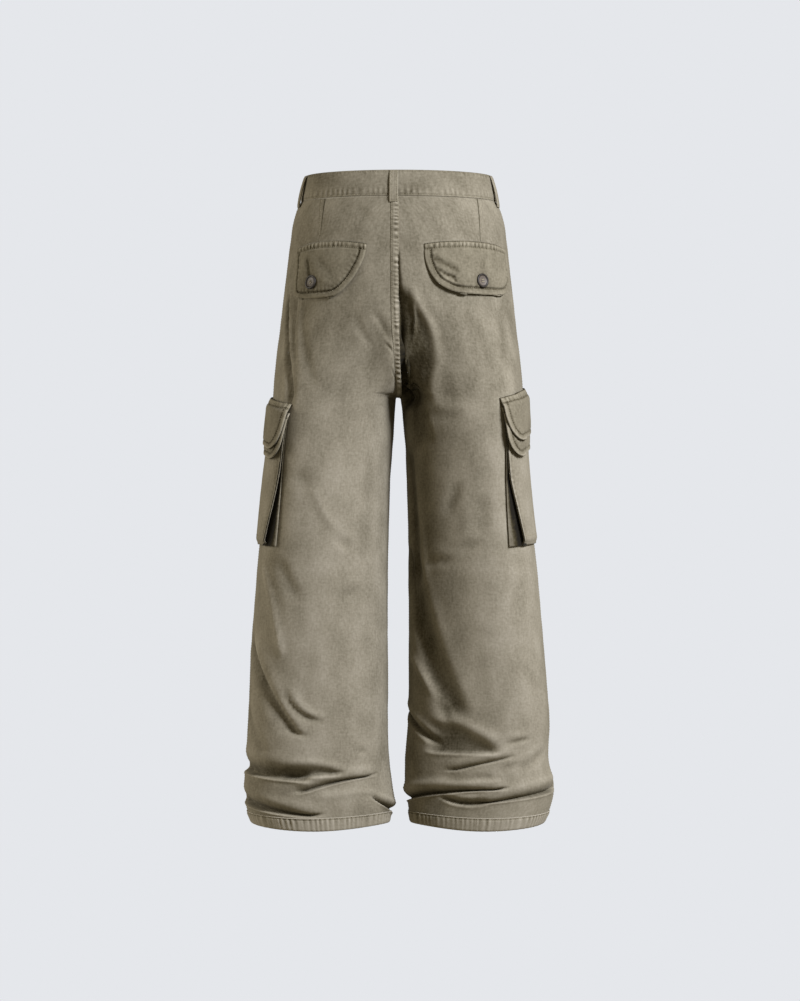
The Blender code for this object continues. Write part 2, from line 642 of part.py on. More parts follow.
def button(name, place_at, facing, radius, material, collection, cutters):
    """A four-hole button: a turned profile with a rim round a dished middle."""
    profile = bpy.data.meshes.new(name)
    corners = zip(BUTTON_PROFILE["radius"], BUTTON_PROFILE["height"])
    points = [(-r * radius, 0, h * radius) for r, h in corners]
    profile.from_pydata(points, [(i, i + 1) for i in range(len(points) - 1)], [])
    profile.materials.append(material)
    thing = bpy.data.objects.new(name, profile)
    collection.objects.link(thing)
    turned = thing.modifiers.new("turned", "SCREW")
    turned.steps = turned.render_steps = 16
    turned.use_merge_vertices = True
    turned.merge_threshold = 0.00001
    turned.use_normal_calculate = True

    mesh = bmesh.new()
    for turn in (45, 135, 225, 315):
        angle = math.radians(turn)
        spot = Vector((math.cos(angle), math.sin(angle), 0)) * HOLE_PLACE * radius / BUTTON_RADIUS
        bmesh.ops.create_cone(
            mesh,
            cap_ends=True,
            segments=6,
            radius1=HOLE_RADIUS * radius / BUTTON_RADIUS,
            radius2=HOLE_RADIUS * radius / BUTTON_RADIUS,
            depth=4 * radius,
            matrix=Matrix.Translation(spot),
        )
    holes = place(name + "_holes", mesh, material, cutters)
    holes.hide_render = True
    holes.display_type = "WIRE"
    drilled = thing.modifiers.new("holes", "BOOLEAN")
    drilled.object = holes
    facing = Vector(facing)
    pose = Matrix.Translation(Vector(place_at)) @ facing.to_track_quat("Z", "Y").to_matrix().to_4x4()
    thing.matrix_world = pose
    holes.matrix_world = pose
    return thing


def on_flap(half, from_seam, z):
    """A place just above a back flap's outer side, and the way the cloth faces there."""
    z = np.array(z)
    point, facing = half.at(from_seam - half.back_length(z), z)
    return point + facing * (LIFT + FLAP_WALL + 0.5 * MM), facing


def main():
    for thing in list(bpy.data.objects):
        bpy.data.objects.remove(thing, do_unlink=True)
    pants = bpy.data.collections.new("cargo_pants")
    cutters = bpy.data.collections.new("cutters")
    bpy.context.scene.collection.children.link(pants)
    bpy.context.scene.collection.children.link(cutters)

    twill = finish("olive_twill", (0.22, 0.20, 0.14), 0.92)
    flap_cloth = finish("olive_flap_twill", (0.21, 0.19, 0.13), 0.92)
    band_cloth = finish("olive_band_twill", (0.22, 0.20, 0.14), 0.9)
    horn = finish("brown_button", (0.045, 0.035, 0.025), 0.45)

    halves = {LEFT: Half(LEFT), RIGHT: Half(RIGHT)}
    for leg, word in ((LEFT, "left"), (RIGHT, "right")):
        half = halves[leg]
        panel("back_" + word, half, 0, PANEL_COLUMNS, twill, pants)
        panel("front_" + word, half, PANEL_COLUMNS, 2 * PANEL_COLUMNS, twill, pants)
        belt_loop("belt_loop_side_" + word, half, SIDE_LOOP, band_cloth, pants)
        belt_loop("belt_loop_front_" + word, half, FRONT_LOOP, band_cloth, pants)
        row = list(POCKETS["leg"]).index(leg)
        sizes = {column: values[row] for column, values in POCKETS.items()}
        cargo_pocket("cargo_pocket_" + word, half, sizes, twill, pants)
        under = POCKET_LIFT + POCKET_WALL + PLY_GAP
        over = under + POCKET_WALL + PLY_GAP
        cargo_flap("cargo_flap_lower_" + word, half, sizes, *LOWER_FLAP, under, flap_cloth, pants)
        cargo_flap("cargo_flap_upper_" + word, half, sizes, *UPPER_FLAP, over, flap_cloth, pants)
    belt_loop("belt_loop_centre_back", halves[RIGHT], 0.0, band_cloth, pants)
    waistband(band_cloth, pants)
    fly_placket(halves[LEFT], twill, pants)
    back_flap("back_flap_left", halves[LEFT], LEFT_FLAP, flap_cloth, pants)
    back_flap("back_flap_right", halves[RIGHT], RIGHT_FLAP, flap_cloth, pants)
    button("back_button_left", *on_flap(halves[LEFT], *LEFT_BUTTON), BUTTON_RADIUS, horn, pants, cutters)
    button("back_button_right", *on_flap(halves[RIGHT], *RIGHT_BUTTON), BUTTON_RADIUS, horn, pants, cutters)
    spot, facing = band_point(WAIST_BUTTON_TURN, 0.0, BAND_PROUD + OVERLAP_LIFT + WAIST_BUTTON_LIFT)
    button("waist_button", spot, facing, WAIST_BUTTON_RADIUS, horn, pants, cutters)


main()
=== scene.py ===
# %% [markdown]
# # Cargo pants in washed cotton twill
# The pants hang filled out, as if a body were in them, and are seen from behind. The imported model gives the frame:
# one rigid wall for each piece that a maker cuts. Each wall is rebuilt here from the same sizes, but finely, so that
# folds, puckered seams and stitches are real geometry. Everything is in metres, +Z up, with the seat facing -Y.

# %% Load the frame
import math

import bmesh
import bpy
import numpy as np
from mathutils import Matrix, Vector, noise


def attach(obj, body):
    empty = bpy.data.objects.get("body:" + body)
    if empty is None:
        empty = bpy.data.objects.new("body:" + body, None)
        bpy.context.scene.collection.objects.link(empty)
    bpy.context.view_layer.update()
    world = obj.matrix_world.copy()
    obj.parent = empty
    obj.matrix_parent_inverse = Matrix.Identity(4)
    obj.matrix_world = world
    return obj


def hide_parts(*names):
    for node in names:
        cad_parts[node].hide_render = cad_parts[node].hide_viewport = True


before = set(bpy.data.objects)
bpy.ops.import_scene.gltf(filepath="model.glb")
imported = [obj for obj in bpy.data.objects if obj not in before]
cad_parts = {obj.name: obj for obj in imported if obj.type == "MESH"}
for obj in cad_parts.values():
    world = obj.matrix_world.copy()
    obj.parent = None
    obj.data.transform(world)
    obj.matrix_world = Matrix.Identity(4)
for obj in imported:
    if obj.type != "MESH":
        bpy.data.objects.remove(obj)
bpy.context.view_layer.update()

MM = 0.001
LEFT, RIGHT = -1, 1
WORD = {LEFT: "left", RIGHT: "right"}

# %% [markdown]
# ## The body inside the cloth
# A garment could be draped by simulation over a figure, but washed twill holds its shape and each fold has to land in
# its own place. So the cloth is a formula: half an ellipse round the hips, a closed ring round each leg, and a blend
# between the two round the crotch. The tables give the widths at a few heights and a smooth curve joins them.

# %% Driving sizes
BAND_TOP, BAND_FOOT = 0.020, -0.020
CROTCH, HEM = -0.321, -0.993
BACK_RISE, FRONT_RISE = 0.215, 0.135
SEAM_GAP = 0.3 * MM
GIRTH_RADIUS = 0.098
SEAM_REACH = 0.24
CROTCH_ROUND = 5 * MM
EASE = 0.120
LEAN = 0.20
SIDE_BLEND_FOOT, SIDE_BLEND = 0.10, 0.25
SEAT_BEND, FRONT_BEND = 2.8, 2.0
VALLEY_FLAT, VALLEY_TURN, VALLEY_SHUT, VALLEY_FADE = 7.5 * MM, 10.0, 45.0, 0.060


def table(columns, *rows):
    """A table of sizes as one array for each named column."""
    return dict(zip(columns.split(), np.array(rows, float).T))


TORSO = table(
    "z side seat belly",
    (0.020, 0.1450, 0.1100, 0.1100),
    (-0.020, 0.1520, 0.1150, 0.1130),
    (-0.031, 0.1575, 0.1168, 0.1140),
    (-0.048, 0.1630, 0.1210, 0.1150),
    (-0.079, 0.1680, 0.1260, 0.1160),
    (-0.141, 0.1755, 0.1320, 0.1160),
    (-0.204, 0.1825, 0.1345, 0.1140),
    (-0.266, 0.1895, 0.1310, 0.1110),
    (-0.321, 0.1945, 0.1250, 0.1080),
    (-0.450, 0.2030, 0.1150, 0.1050),
)
LEG = table(
    "z outer_left outer_right inner_left inner_right back front square",
    (-0.150, 0.1765, 0.1765, 0.0030, 0.0030, 0.1300, 0.1150, 0.015),
    (-0.298, 0.1942, 0.1927, 0.0035, 0.0036, 0.1210, 0.1090, 0.030),
    (-0.321, 0.1955, 0.1940, 0.0042, 0.0046, 0.1188, 0.1079, 0.030),
    (-0.360, 0.1985, 0.1955, 0.0070, 0.0075, 0.1150, 0.1060, 0.025),
    (-0.391, 0.2010, 0.1970, 0.0086, 0.0100, 0.1120, 0.1050, 0.022),
    (-0.454, 0.2070, 0.2010, 0.0133, 0.0133, 0.1065, 0.1020, 0.018),
    (-0.516, 0.2130, 0.2065, 0.0148, 0.0148, 0.1025, 0.0990, 0.015),
    (-0.578, 0.2192, 0.2140, 0.0164, 0.0160, 0.0985, 0.0965, 0.012),
    (-0.641, 0.2239, 0.2207, 0.0164, 0.0164, 0.0950, 0.0940, 0.010),
    (-0.703, 0.2285, 0.2254, 0.0164, 0.0164, 0.0915, 0.0915, 0.010),
    (-0.766, 0.2317, 0.2301, 0.0164, 0.0164, 0.0880, 0.0885, 0.010),
    (-0.828, 0.2348, 0.2355, 0.0164, 0.0148, 0.0850, 0.0860, 0.010),
    (-0.890, 0.2379, 0.2340, 0.0140, 0.0105, 0.0830, 0.0845, 0.010),
    (-0.931, 0.2398, 0.2420, 0.0090, 0.0110, 0.0820, 0.0835, 0.010),
    (-0.956, 0.2379, 0.2385, 0.0060, 0.0150, 0.0800, 0.0820, 0.010),
    (-0.976, 0.2345, 0.2335, 0.0115, 0.0170, 0.0780, 0.0800, 0.010),
    (-0.993, 0.2290, 0.2270, 0.0140, 0.0195, 0.0755, 0.0775, 0.010),
)
SEAT_SEAM = table(
    "z shift",
    (0.020, 0.0074),
    (-0.180, 0.0074),
    (-0.260, 0.0045),
    (-0.325, 0.0000),
)


# %% The surface of one half
def smoothstep(t):
    t = np.clip(t, 0, 1)
    return t * t * (3 - 2 * t)


def bell(t):
    return np.exp(-np.square(t))


def unit(vectors):
    """The same directions with length 1."""
    return vectors / np.linalg.norm(vectors, axis=-1, keepdims=True)


def walk(line):
    """How far along a line of points each of them lies."""
    return np.concatenate([[0], np.cumsum(np.linalg.norm(np.diff(line, axis=0), axis=1))])


def packed(count, packing):
    """Shares from 0 to 1, closer together near both ends."""
    t = np.linspace(0, 1, count)
    return t - packing * np.sin(2 * math.pi * t) / (2 * math.pi)


def between(grid, i, j, down, across):
    """What a grid holds down and across the square of points that starts at row i and column j."""
    top = grid[i, j] * (1 - across) + grid[i, j + 1] * across
    foot = grid[i + 1, j] * (1 - across) + grid[i + 1, j + 1] * across
    return top * (1 - down) + foot * down


def level(form, column, at, key="z"):
    """One column of a table, read at the key values on a smooth curve through its rows."""
    order = np.argsort(form[key])
    keys, values = form[key][order], form[column][order]
    slopes = np.gradient(values, keys)
    at = np.clip(at, keys[0], keys[-1])
    i = np.clip(np.searchsorted(keys, at) - 1, 0, len(keys) - 2)
    step = keys[i + 1] - keys[i]
    t = (at - keys[i]) / step
    start = (1 + 2 * t) * (1 - t) ** 2 * values[i] + t * (1 - t) ** 2 * step * slopes[i]
    end = t * t * (3 - 2 * t) * values[i + 1] - t * t * (1 - t) * step * slopes[i + 1]
    return start + end


def ring(leg, turn, z):
    """Points of the smooth half. Turn 0 is the back seam or inseam, 180 the side seam and 360 the front."""
    at_back = turn <= 180
    across = np.sin(np.radians(turn) / 2) ** 2
    reach = np.where(at_back, -level(TORSO, "seat", z), level(TORSO, "belly", z))
    torso = np.stack([level(TORSO, "side", z) * across, reach * np.sqrt(1 - across**2)])
    outer, inner = level(LEG, "outer_" + WORD[leg], z), level(LEG, "inner_" + WORD[leg], z)
    reach = np.where(at_back, level(LEG, "back", z), level(LEG, "front", z))
    square = level(LEG, "square", z)
    angle = np.radians(turn)
    width = (outer - inner) / 2 * (np.cos(angle) - square * np.cos(3 * angle)) / (1 - square)
    above_crotch = smoothstep((z - CROTCH) / CROTCH_ROUND) * at_back
    sunk = angle * (1 - above_crotch * (1 - smoothstep((turn - 2) / (1.5 * VALLEY_TURN))))
    depth = reach * (np.sin(sunk) + square * np.sin(3 * sunk)) / (1 - square)
    depth = depth * (1 - LEAN * np.cos(angle) * at_back)
    tube = np.stack([(outer + inner) / 2 - width, -depth])
    rise = np.clip((z - CROTCH) / np.where(at_back, BACK_RISE, FRONT_RISE), 0, 1)
    bend = np.where(at_back, SEAT_BEND, FRONT_BEND)
    seam_share = (1 - (1 - rise) ** bend) ** (1 / bend)
    side_share = smoothstep((z - CROTCH + SIDE_BLEND_FOOT) / SIDE_BLEND)
    share = seam_share + (side_share - seam_share) * smoothstep(across / SEAM_REACH)
    x, y = tube + (torso - tube) * share
    joined = smoothstep((z - CROTCH) / CROTCH_ROUND + 1) * (1 - share)
    x = x - inner * joined * (1 - across) ** 6
    opened = smoothstep(turn / VALLEY_TURN) * (1 - smoothstep((turn - VALLEY_TURN) / VALLEY_SHUT))
    x = x + VALLEY_FLAT * smoothstep((z - CROTCH) / VALLEY_FADE + 1) * at_back * (1 - share) * opened
    x = x - leg * level(SEAT_SEAM, "shift", z) * (1 - across) ** 2 * at_back
    return np.stack([x, y, z], axis=-1)


def strokes(across, down, rows):
    """Small troughs (or ridges, where the depth is negative) between pairs of places on a flat piece, in mm."""
    out = np.zeros(np.broadcast(across, down).shape)
    for u0, v0, u1, v1, width, depth in rows:
        run = np.array((u1 - u0, v1 - v0), float)
        length = np.hypot(*run)
        along = ((across - u0) * run[0] + (down - v0) * run[1]) / length**2
        beside = ((across - u0) * run[1] - (down - v0) * run[0]) / length
        out -= depth * bell(beside / width) * smoothstep((along + 0.15) / 0.3) * smoothstep((1.15 - along) / 0.3)
    return out


# %% [markdown]
# ## Folds
# Every fold is one row of a table: where it starts and ends on the leg, how far it bows, and its section. A section is
# a trough with a lip above it. Where the leg's spare length stacks up over the shoe, the lip also sinks, so it hangs
# over the trough and throws the hard dark line that stacked twill has.

# %% Tables of folds
# A fold runs between two places: how far round the cloth (0 the inseam, 180 the side seam, 360 the inseam again) and a
# height in metres. The rest is in mm: how far its line bows up, how far the trough reaches above and below the line,
# its depth, the width of the lip above it, how far the lip stands out, and how far it sinks. A wedge of 1 narrows to a
# point at its first end, -1 at its second.
FOLDS = table(
    "leg turn z turn_end z_end bow up low depth lip shoulder drop wedge",
    # left leg, back: the stack above the hem
    (LEFT, 88, -0.9125, 196, -0.899, 1, 16, 2.5, 14.0, 10, 1.5, 4.5, 0),
    (LEFT, 58, -0.9015, 122, -0.9085, 1, 15, 2.5, 10.0, 6, 2.5, 2.0, 1),
    (LEFT, 27, -0.9060, 109, -0.9360, 6, 6, 1.8, 11.0, 7, 3.0, 4.5, 1),
    (LEFT, 82, -0.9670, 188, -0.9460, -4, 12, 2.5, 14.0, 8, 2.0, 4.5, 1),
    (LEFT, -14, -0.9800, 39, -0.9370, -5, 9, 2.0, 15.0, 5, 3.5, 5.0, -1),
    (LEFT, 28, -0.9330, 92, -0.9420, 2, 6, 6.0, -1.6, 8, 0.0, 0.0, 0),
    # left leg, back: the long folds that lead down into the stack
    (LEFT, 100, -0.8500, 166, -0.6850, -2, 3.0, 14.0, 7.5, 12, 2.5, 0.0, 0),
    (LEFT, 92, -0.8480, 114, -0.8300, -3, 3, 4.0, 2.5, 5, 1.0, 0.0, 0),
    (LEFT, 80, -0.8260, 116, -0.7640, -15, 3.5, 8.0, 4.5, 6, 3.0, 0.0, 0),
    (LEFT, 116, -0.7350, 147, -0.5700, 6, 3.4, 8.0, -4.4, 8, 0.0, 0.0, 0),
    (LEFT, 104, -0.6450, 126, -0.5700, 0, 8, 9.0, 3.0, 8, 1.0, 0.0, 0),
    (LEFT, 97, -0.4750, 113, -0.4350, 0, 9, 9.0, 2.2, 8, 0.6, 0.0, 0),
    (LEFT, 72, -0.5360, 98, -0.4500, -5, 3.4, 6.0, -3.0, 8, 0.0, 0.0, 0),
    (LEFT, 54, -0.5620, 80, -0.5400, 0, 7, 5.0, 2.4, 8, 0.8, 0.0, 0),
    (LEFT, 40, -0.6230, 78, -0.6400, 4, 9, 8.0, 1.6, 8, 0.6, 0.0, 0),
    (LEFT, 36, -0.8760, 50, -0.8680, 0, 6, 5.0, 2.2, 5, 0.6, 0.0, 0),
    (LEFT, 132, -0.8850, 172, -0.8000, 3, 9, 9.0, 2.0, 8, 1.0, 0.0, 0),
    # left leg, front
    (LEFT, 215, -0.905, 330, -0.925, -8, 12, 3.5, 7.0, 8, 4.0, 4.0, 1),
    (LEFT, 240, -0.948, 345, -0.962, 6, 8, 3.0, 6.0, 7, 3.5, 4.0, 0),
    (LEFT, 205, -0.720, 275, -0.860, -6, 15, 10.0, 4.5, 14, 3.0, 0.0, 0),
    (LEFT, 262, -0.640, 300, -0.560, 3, 12, 12.0, 2.0, 10, 1.0, 0.0, 0),
    # right leg, back: the stack
    (RIGHT, -18, -0.9560, 112, -0.9240, 7, 8, 2.0, 13.5, 7, 4.0, 5.5, -1),
    (RIGHT, 46, -0.9380, 98, -0.9430, -10, 7, 2.5, 9.0, 4, 2.0, 2.5, 0),
    (RIGHT, 80, -0.9480, 182, -0.9290, 1, 9, 2.0, 10.5, 8, 3.0, 4.5, 1),
    (RIGHT, 54, -0.9020, 121, -0.8750, 1, 3, 2.0, 6.0, 6, 2.5, 3.0, 0),
    (RIGHT, 100, -0.9080, 123, -0.8860, 2, 3, 4.0, 3.0, 4, 0.0, 0.0, 0),
    (RIGHT, 53, -0.9160, 108, -0.9100, 0, 5, 3.5, 2.0, 7, 1.2, 0.0, 0),
    (RIGHT, 34, -0.8690, 108, -0.8695, 0, 42, 2.5, 10.0, 10, 4.0, 2.0, -1),
    (RIGHT, -16, -0.8030, 51, -0.8640, 1, 8, 3.0, 7.0, 6, 2.0, 1.0, 0),
    (RIGHT, 108, -0.8610, 136, -0.8490, 0, 4, 3.0, 3.0, 6, 1.8, 0.0, 0),
    (RIGHT, 118, -0.9050, 160, -0.8700, 0, 8, 6.0, 2.5, 8, 1.5, 0.0, 0),
    # right leg, back: the long folds
    (RIGHT, 12, -0.4000, 20, -0.6200, 0, 26, 6.0, 6.5, 6, 2.5, 0.0, 0),
    (RIGHT, 2, -0.5500, 60, -0.8300, -6, 32, 9.0, 8.0, 12, 2.5, 0.0, 0),
    (RIGHT, 9, -0.7150, 66, -0.8280, 3, 8, 8.0, -4.0, 8, 0.0, 0.0, 0),
    (RIGHT, 90, -0.6950, 130, -0.5800, -3, 9, 9.0, -2.2, 8, 0.0, 0.0, 0),
    (RIGHT, 62, -0.5100, 79, -0.4500, 0, 8, 8.0, 3.6, 8, 0.8, 0.0, 0),
    (RIGHT, 92, -0.5500, 98, -0.4700, 0, 14, 12.0, 3.4, 8, 0.8, 0.0, 0),
    (RIGHT, 70, -0.5700, 100, -0.5450, 3, 9, 6.0, 2.4, 8, 1.0, 0.0, 0),
    (RIGHT, 32, -0.5850, 72, -0.5750, 0, 8, 6.0, 2.0, 8, 1.0, 0.0, 0),
    # right leg, front
    (RIGHT, 200, -0.898, 318, -0.922, -8, 12, 3.5, 7.0, 8, 4.0, 4.0, 1),
    (RIGHT, 238, -0.940, 350, -0.950, 6, 8, 3.0, 6.0, 7, 3.5, 4.0, 0),
    (RIGHT, 255, -0.700, 325, -0.860, 6, 15, 10.0, 4.5, 14, 3.0, 0.0, 0),
    (RIGHT, 262, -0.470, 300, -0.560, 3, 12, 12.0, 2.0, 10, 1.0, 0.0, 0),
    # seat
    (RIGHT, 5, -0.0950, 7, -0.3450, 0, 12, 2.0, 5.0, 5, 0.0, 0.0, 1),
    (RIGHT, 4, -0.1560, 4, -0.3480, 0, 104, 2.0, 13.0, 10, 5.0, 0.0, 1),
    (RIGHT, 27, -0.2600, 38, -0.4100, 0, 34, 14.0, 6.0, 6, 1.5, 0.0, 0),
    (RIGHT, 20, -0.1720, 26, -0.2500, 0, 2.5, 2.5, -4.5, 5, 0.0, 0.0, 0),
    (RIGHT, 30, -0.3450, 90, -0.3600, 0, 10, 10.0, 1.5, 8, 0.0, 0.0, 0),
    (LEFT, 28, -0.1880, 6, -0.2480, 2, 9, 5.0, 1.6, 7, 0.4, 0.0, 0),
    (LEFT, 19, -0.2450, 4, -0.2620, 2, 3, 3.0, 1.8, 4, 0.6, 0.0, 0),
    (LEFT, 19, -0.2850, 4, -0.2990, 2, 3, 3.0, 1.8, 4, 0.6, 0.0, 0),
    (LEFT, 45, -0.1950, 36, -0.2600, 0, 9, 9.0, 1.8, 8, 0.0, 0.0, 0),
    (LEFT, 151, -0.1600, 126, -0.3500, 7, 5, 5.0, 8.0, 5, 2.6, 0.0, 0),
    (LEFT, 128, -0.1600, 122, -0.3450, 0, 4, 4.0, 2.6, 5, 0.8, 0.0, 0),
    (LEFT, 112, -0.1650, 106, -0.3200, -3, 7, 7.0, 2.0, 8, 0.0, 0.0, 0),
    (RIGHT, 132, -0.1800, 122, -0.3300, 0, 9, 9.0, 1.8, 8, 0.0, 0.0, 0),
    (RIGHT, 22, -0.0400, 44, -0.0750, 0, 8, 8.0, 1.0, 8, 0.0, 0.0, 0),
    (LEFT, 25, -0.0600, 50, -0.0350, 0, 8, 8.0, 1.0, 8, 0.0, 0.0, 0),
)
FOLD_END = 26


def folds(leg, turn, z):
    """How far the folds move the cloth outwards and down, in metres."""
    out, down = np.zeros_like(z), np.zeros_like(z)
    for row in np.array(list(FOLDS.values())).T:
        own, turn_a, z_a, turn_b, z_b, bow, up, low, depth, lip, shoulder, drop, wedge = row
        if own != leg:
            continue
        run, climb = math.radians(turn_b - turn_a) * GIRTH_RADIUS / MM, (z_b - z_a) / MM
        length = math.hypot(run, climb)
        around = (turn - (turn_a + turn_b) / 2 + 180) % 360 - 180
        g, h = np.radians(around) * GIRTH_RADIUS / MM + run / 2, (z - z_a) / MM
        along = (g * run + h * climb) / length**2
        above = (1 if run >= 0 else -1) * (h * run - g * climb) / length - bow * 4 * along * (1 - along)
        from_point = along if wedge > 0 else 1 - along
        reach = up * (1 if wedge == 0 else 0.2 + 0.8 * smoothstep(from_point / 0.7))
        trough = np.where(above > 0, bell(above / reach), bell(above / low))
        end = min(FOLD_END, 0.45 * length) / length
        fade = smoothstep(along / end) * smoothstep((1 - along) / end)
        toe = 0.12 * max(depth, 0) * bell(above / low / 1.5 + 1.4)
        lifted = (above - 0.9 * reach - lip) / lip
        out += fade * MM * (shoulder * bell(lifted) + toe - depth * trough)
        down += fade * MM * drop * bell((above - 0.6 * reach) / (0.6 * reach + 0.4 * lip))
    return out, down


# %% [markdown]
# ## One half of the cloth
# The grid of points is denser where there is more to show: at the seams, and low on the leg. Every later piece asks
# this grid for points, so a pocket or a stitch always lies on the cloth beneath it.

# %% The grid of one half
PANEL_COLUMNS = 84
EDGE_PACKING = 0.62
ROW_STEPS = table(
    "z count",
    (-0.031, 5),
    (CROTCH + 0.01, 124),
    (CROTCH, 8),
    (CROTCH - 0.006, 5),
    (-0.790, 108),
    (HEM, 138),
)


def row_heights():
    """Heights of the rows from the waist seam to the hem."""
    heights, top = [BAND_FOOT - SEAM_GAP], BAND_FOOT - SEAM_GAP
    for foot, count in zip(ROW_STEPS["z"], ROW_STEPS["count"]):
        heights.extend(np.linspace(top, foot, int(count) + 1)[1:])
        top = foot
    return np.array(heights)


def column_shares():
    """Places of the columns between two seams, from 0 to 1, closer together near the seams."""
    return packed(PANEL_COLUMNS + 1, EDGE_PACKING)


def seam_to_seam(leg, z):
    """Turns of one row's columns, and the lengths of its back and front halves."""
    dense = np.linspace(0, 180, 361)
    turns, lengths = [], []
    for start in (0, 180):
        walked = walk(ring(leg, dense + start, np.full_like(dense, z)))
        turns.append(np.interp(walked[-1] * column_shares(), walked, dense + start))
        lengths.append(walked[-1])
    return np.concatenate([turns[0], turns[1][1:]]), lengths


def column_turns(leg, heights):
    """Turns of the columns at each row. Just above the crotch they change slowly from the leg's to the hips'."""
    leg_turns, hip_turns = seam_to_seam(leg, CROTCH)[0], seam_to_seam(leg, CROTCH + EASE)[0]
    turns, lengths = [], []
    for z in heights:
        row, halves = seam_to_seam(leg, z)
        if CROTCH < z < CROTCH + EASE:
            row = leg_turns + (hip_turns - leg_turns) * smoothstep((z - CROTCH) / EASE)
        turns.append(row)
        lengths.append(halves)
    return np.array(turns), np.array(lengths)


def normals(points, closed):
    """Unit outward directions at a grid of points. Rows marked closed go on round the leg."""
    across = np.empty_like(points)
    across[:, 1:-1] = points[:, 2:] - points[:, :-2]
    across[:, 0] = points[:, 1] - points[:, -2]
    across[:, -1] = across[:, 0]
    for edge, neighbour, sign in ((0, 1, 1), (-1, -2, -1)):
        step = np.zeros_like(points[:, 0])
        step[:, 0] = sign * (points[:, neighbour, 0] - points[:, edge, 0])
        across[~closed, edge] = step[~closed]
    down = np.gradient(points, axis=0)
    return unit(np.cross(down, across))


def drift(points, size, amount):
    """Soft random unevenness: noise of a given size, sampled at points in metres."""
    flat = points.reshape(-1, 3) / size
    return amount * np.array([noise.noise(Vector(spot)) for spot in flat]).reshape(points.shape[:-1])


STACK_FOOT, HEM_RISE = -0.940, 8 * MM
UNEVEN, UNEVEN_SIZE, RIPPLE, RIPPLE_SIZE = 1.1 * MM, 0.055, 0.35 * MM, 0.019
WEAR_AND_SHADE_HEIGHT = 7 * MM
# Painted shade in the deep fold beside the seat seam
SEAM_SHADE_DEPTH, SEAM_SHADE_TURN, SEAM_SHADE_SPREAD, SEAM_SHADE_Z, SEAM_SHADE_REACH = 1.4, 5.0, 8.0, -0.262, 0.045
SEAM_STIFF = 2.0
SIDE_GROOVE, SIDE_GROOVE_WIDTH = 0.7 * MM, 1.6 * MM


class Half:
    """The finished cloth of one side of the body."""

    def __init__(self, leg):
        self.leg = leg
        self.heights = row_heights()
        self.closed = self.heights < CROTCH - 0.5 * MM
        turns, self.lengths = column_turns(leg, self.heights)
        z = np.repeat(self.heights[:, None], turns.shape[1], axis=1)
        smooth = ring(leg, turns, z)
        shares = np.concatenate([column_shares(), column_shares()[1:] + 1])
        back, front = self.lengths[:, :1], self.lengths[:, 1:]
        around = np.where(shares <= 1, (shares - 1) * back, (shares - 1) * front)
        self.cut = np.cumsum(np.linalg.norm(np.diff(smooth, axis=1, prepend=smooth[:, :1]), axis=-1), axis=1)
        self.cut -= self.cut[:, PANEL_COLUMNS : PANEL_COLUMNS + 1]
        even = 180 * shares + 0 * z
        out, down = folds(leg, even, z)
        open_seam = (z > CROTCH) * bell(np.minimum(even, 360 - even) / SEAM_STIFF)
        out *= 1 - open_seam
        rise = HEM_RISE * np.cos(np.radians(even)) ** 2 * smoothstep((STACK_FOOT - z) / (STACK_FOOT - HEM))
        down = down - rise
        uneven = drift(smooth * (leg, 1, 0.55), UNEVEN_SIZE, UNEVEN) + drift(smooth, RIPPLE_SIZE, RIPPLE)
        settle = smoothstep((BAND_FOOT - z) / 0.03)
        # Tone from the folds, partly real and partly painted: wear and a painted highlight pale the ridges, unworn dye
        # and painted shade darken the hollows
        self.tone = np.clip((out + uneven * settle) / WEAR_AND_SHADE_HEIGHT, -1, 1)
        # Painted shade in the deep fold beside the seat seam, on the right half
        if leg == RIGHT:
            painted_fold_shade = SEAM_SHADE_DEPTH * bell((even - SEAM_SHADE_TURN) / SEAM_SHADE_SPREAD)
            self.tone -= painted_fold_shade * bell((z - SEAM_SHADE_Z) / SEAM_SHADE_REACH)
        out += uneven * settle
        out -= SIDE_GROOVE * bell(around / SIDE_GROOVE_WIDTH)
        self.points = smooth + normals(smooth, self.closed) * out[..., None]
        self.points[..., 2] -= down
        self.points[0, :, 2], self.points[-1, :, 2] = self.heights[0], self.heights[-1] + rise[-1]
        self.facing = normals(self.points, self.closed)
        seam = -leg * level(SEAT_SEAM, "shift", self.heights)
        self.keep_clear(self.points[:, :PANEL_COLUMNS], seam)
        self.keep_clear(self.points[:, PANEL_COLUMNS:], 0 * seam)
        self.points[..., 0] *= leg
        self.facing[..., 0] *= leg

    def keep_clear(self, skin, seam):
        """Keeps the cloth above the crotch half a seam gap from the middle."""
        least = (seam + SEAM_GAP / 2)[:, None]
        high = ~self.closed
        skin[high, :, 0] = np.maximum(skin[high, :, 0], least[high])

    def at(self, around, z):
        """Points and outward directions at distances around from the side seam (+ to the front) and heights."""
        row = np.interp(-z, -self.heights, np.arange(len(self.heights)))
        share = 1 + around / np.where(around > 0, self.front_length(z), self.back_length(z))
        lap = np.clip(np.floor(share), 0, 1)
        place = np.interp(share - lap, column_shares(), np.linspace(0, 1, PANEL_COLUMNS + 1))
        column = np.clip((lap + place) * PANEL_COLUMNS, 0, 2 * PANEL_COLUMNS - 1e-6)
        i, j = np.minimum(row.astype(int), len(self.heights) - 2), column.astype(int)
        square = i, j, (row - i)[..., None], (column - j)[..., None]
        return between(self.points, *square), unit(between(self.facing, *square))

    def back_length(self, z):
        return np.interp(-z, -self.heights, self.lengths[:, 0])

    def front_length(self, z):
        return np.interp(-z, -self.heights, self.lengths[:, 1])

    def girth(self, z):
        return self.back_length(z) + self.front_length(z)


halves = {leg: Half(leg) for leg in WORD}
for leg, half in halves.items():
    print("half", leg, "grid", half.points.shape[:2], "girth at hem %.3f m" % half.lengths[-1].sum())
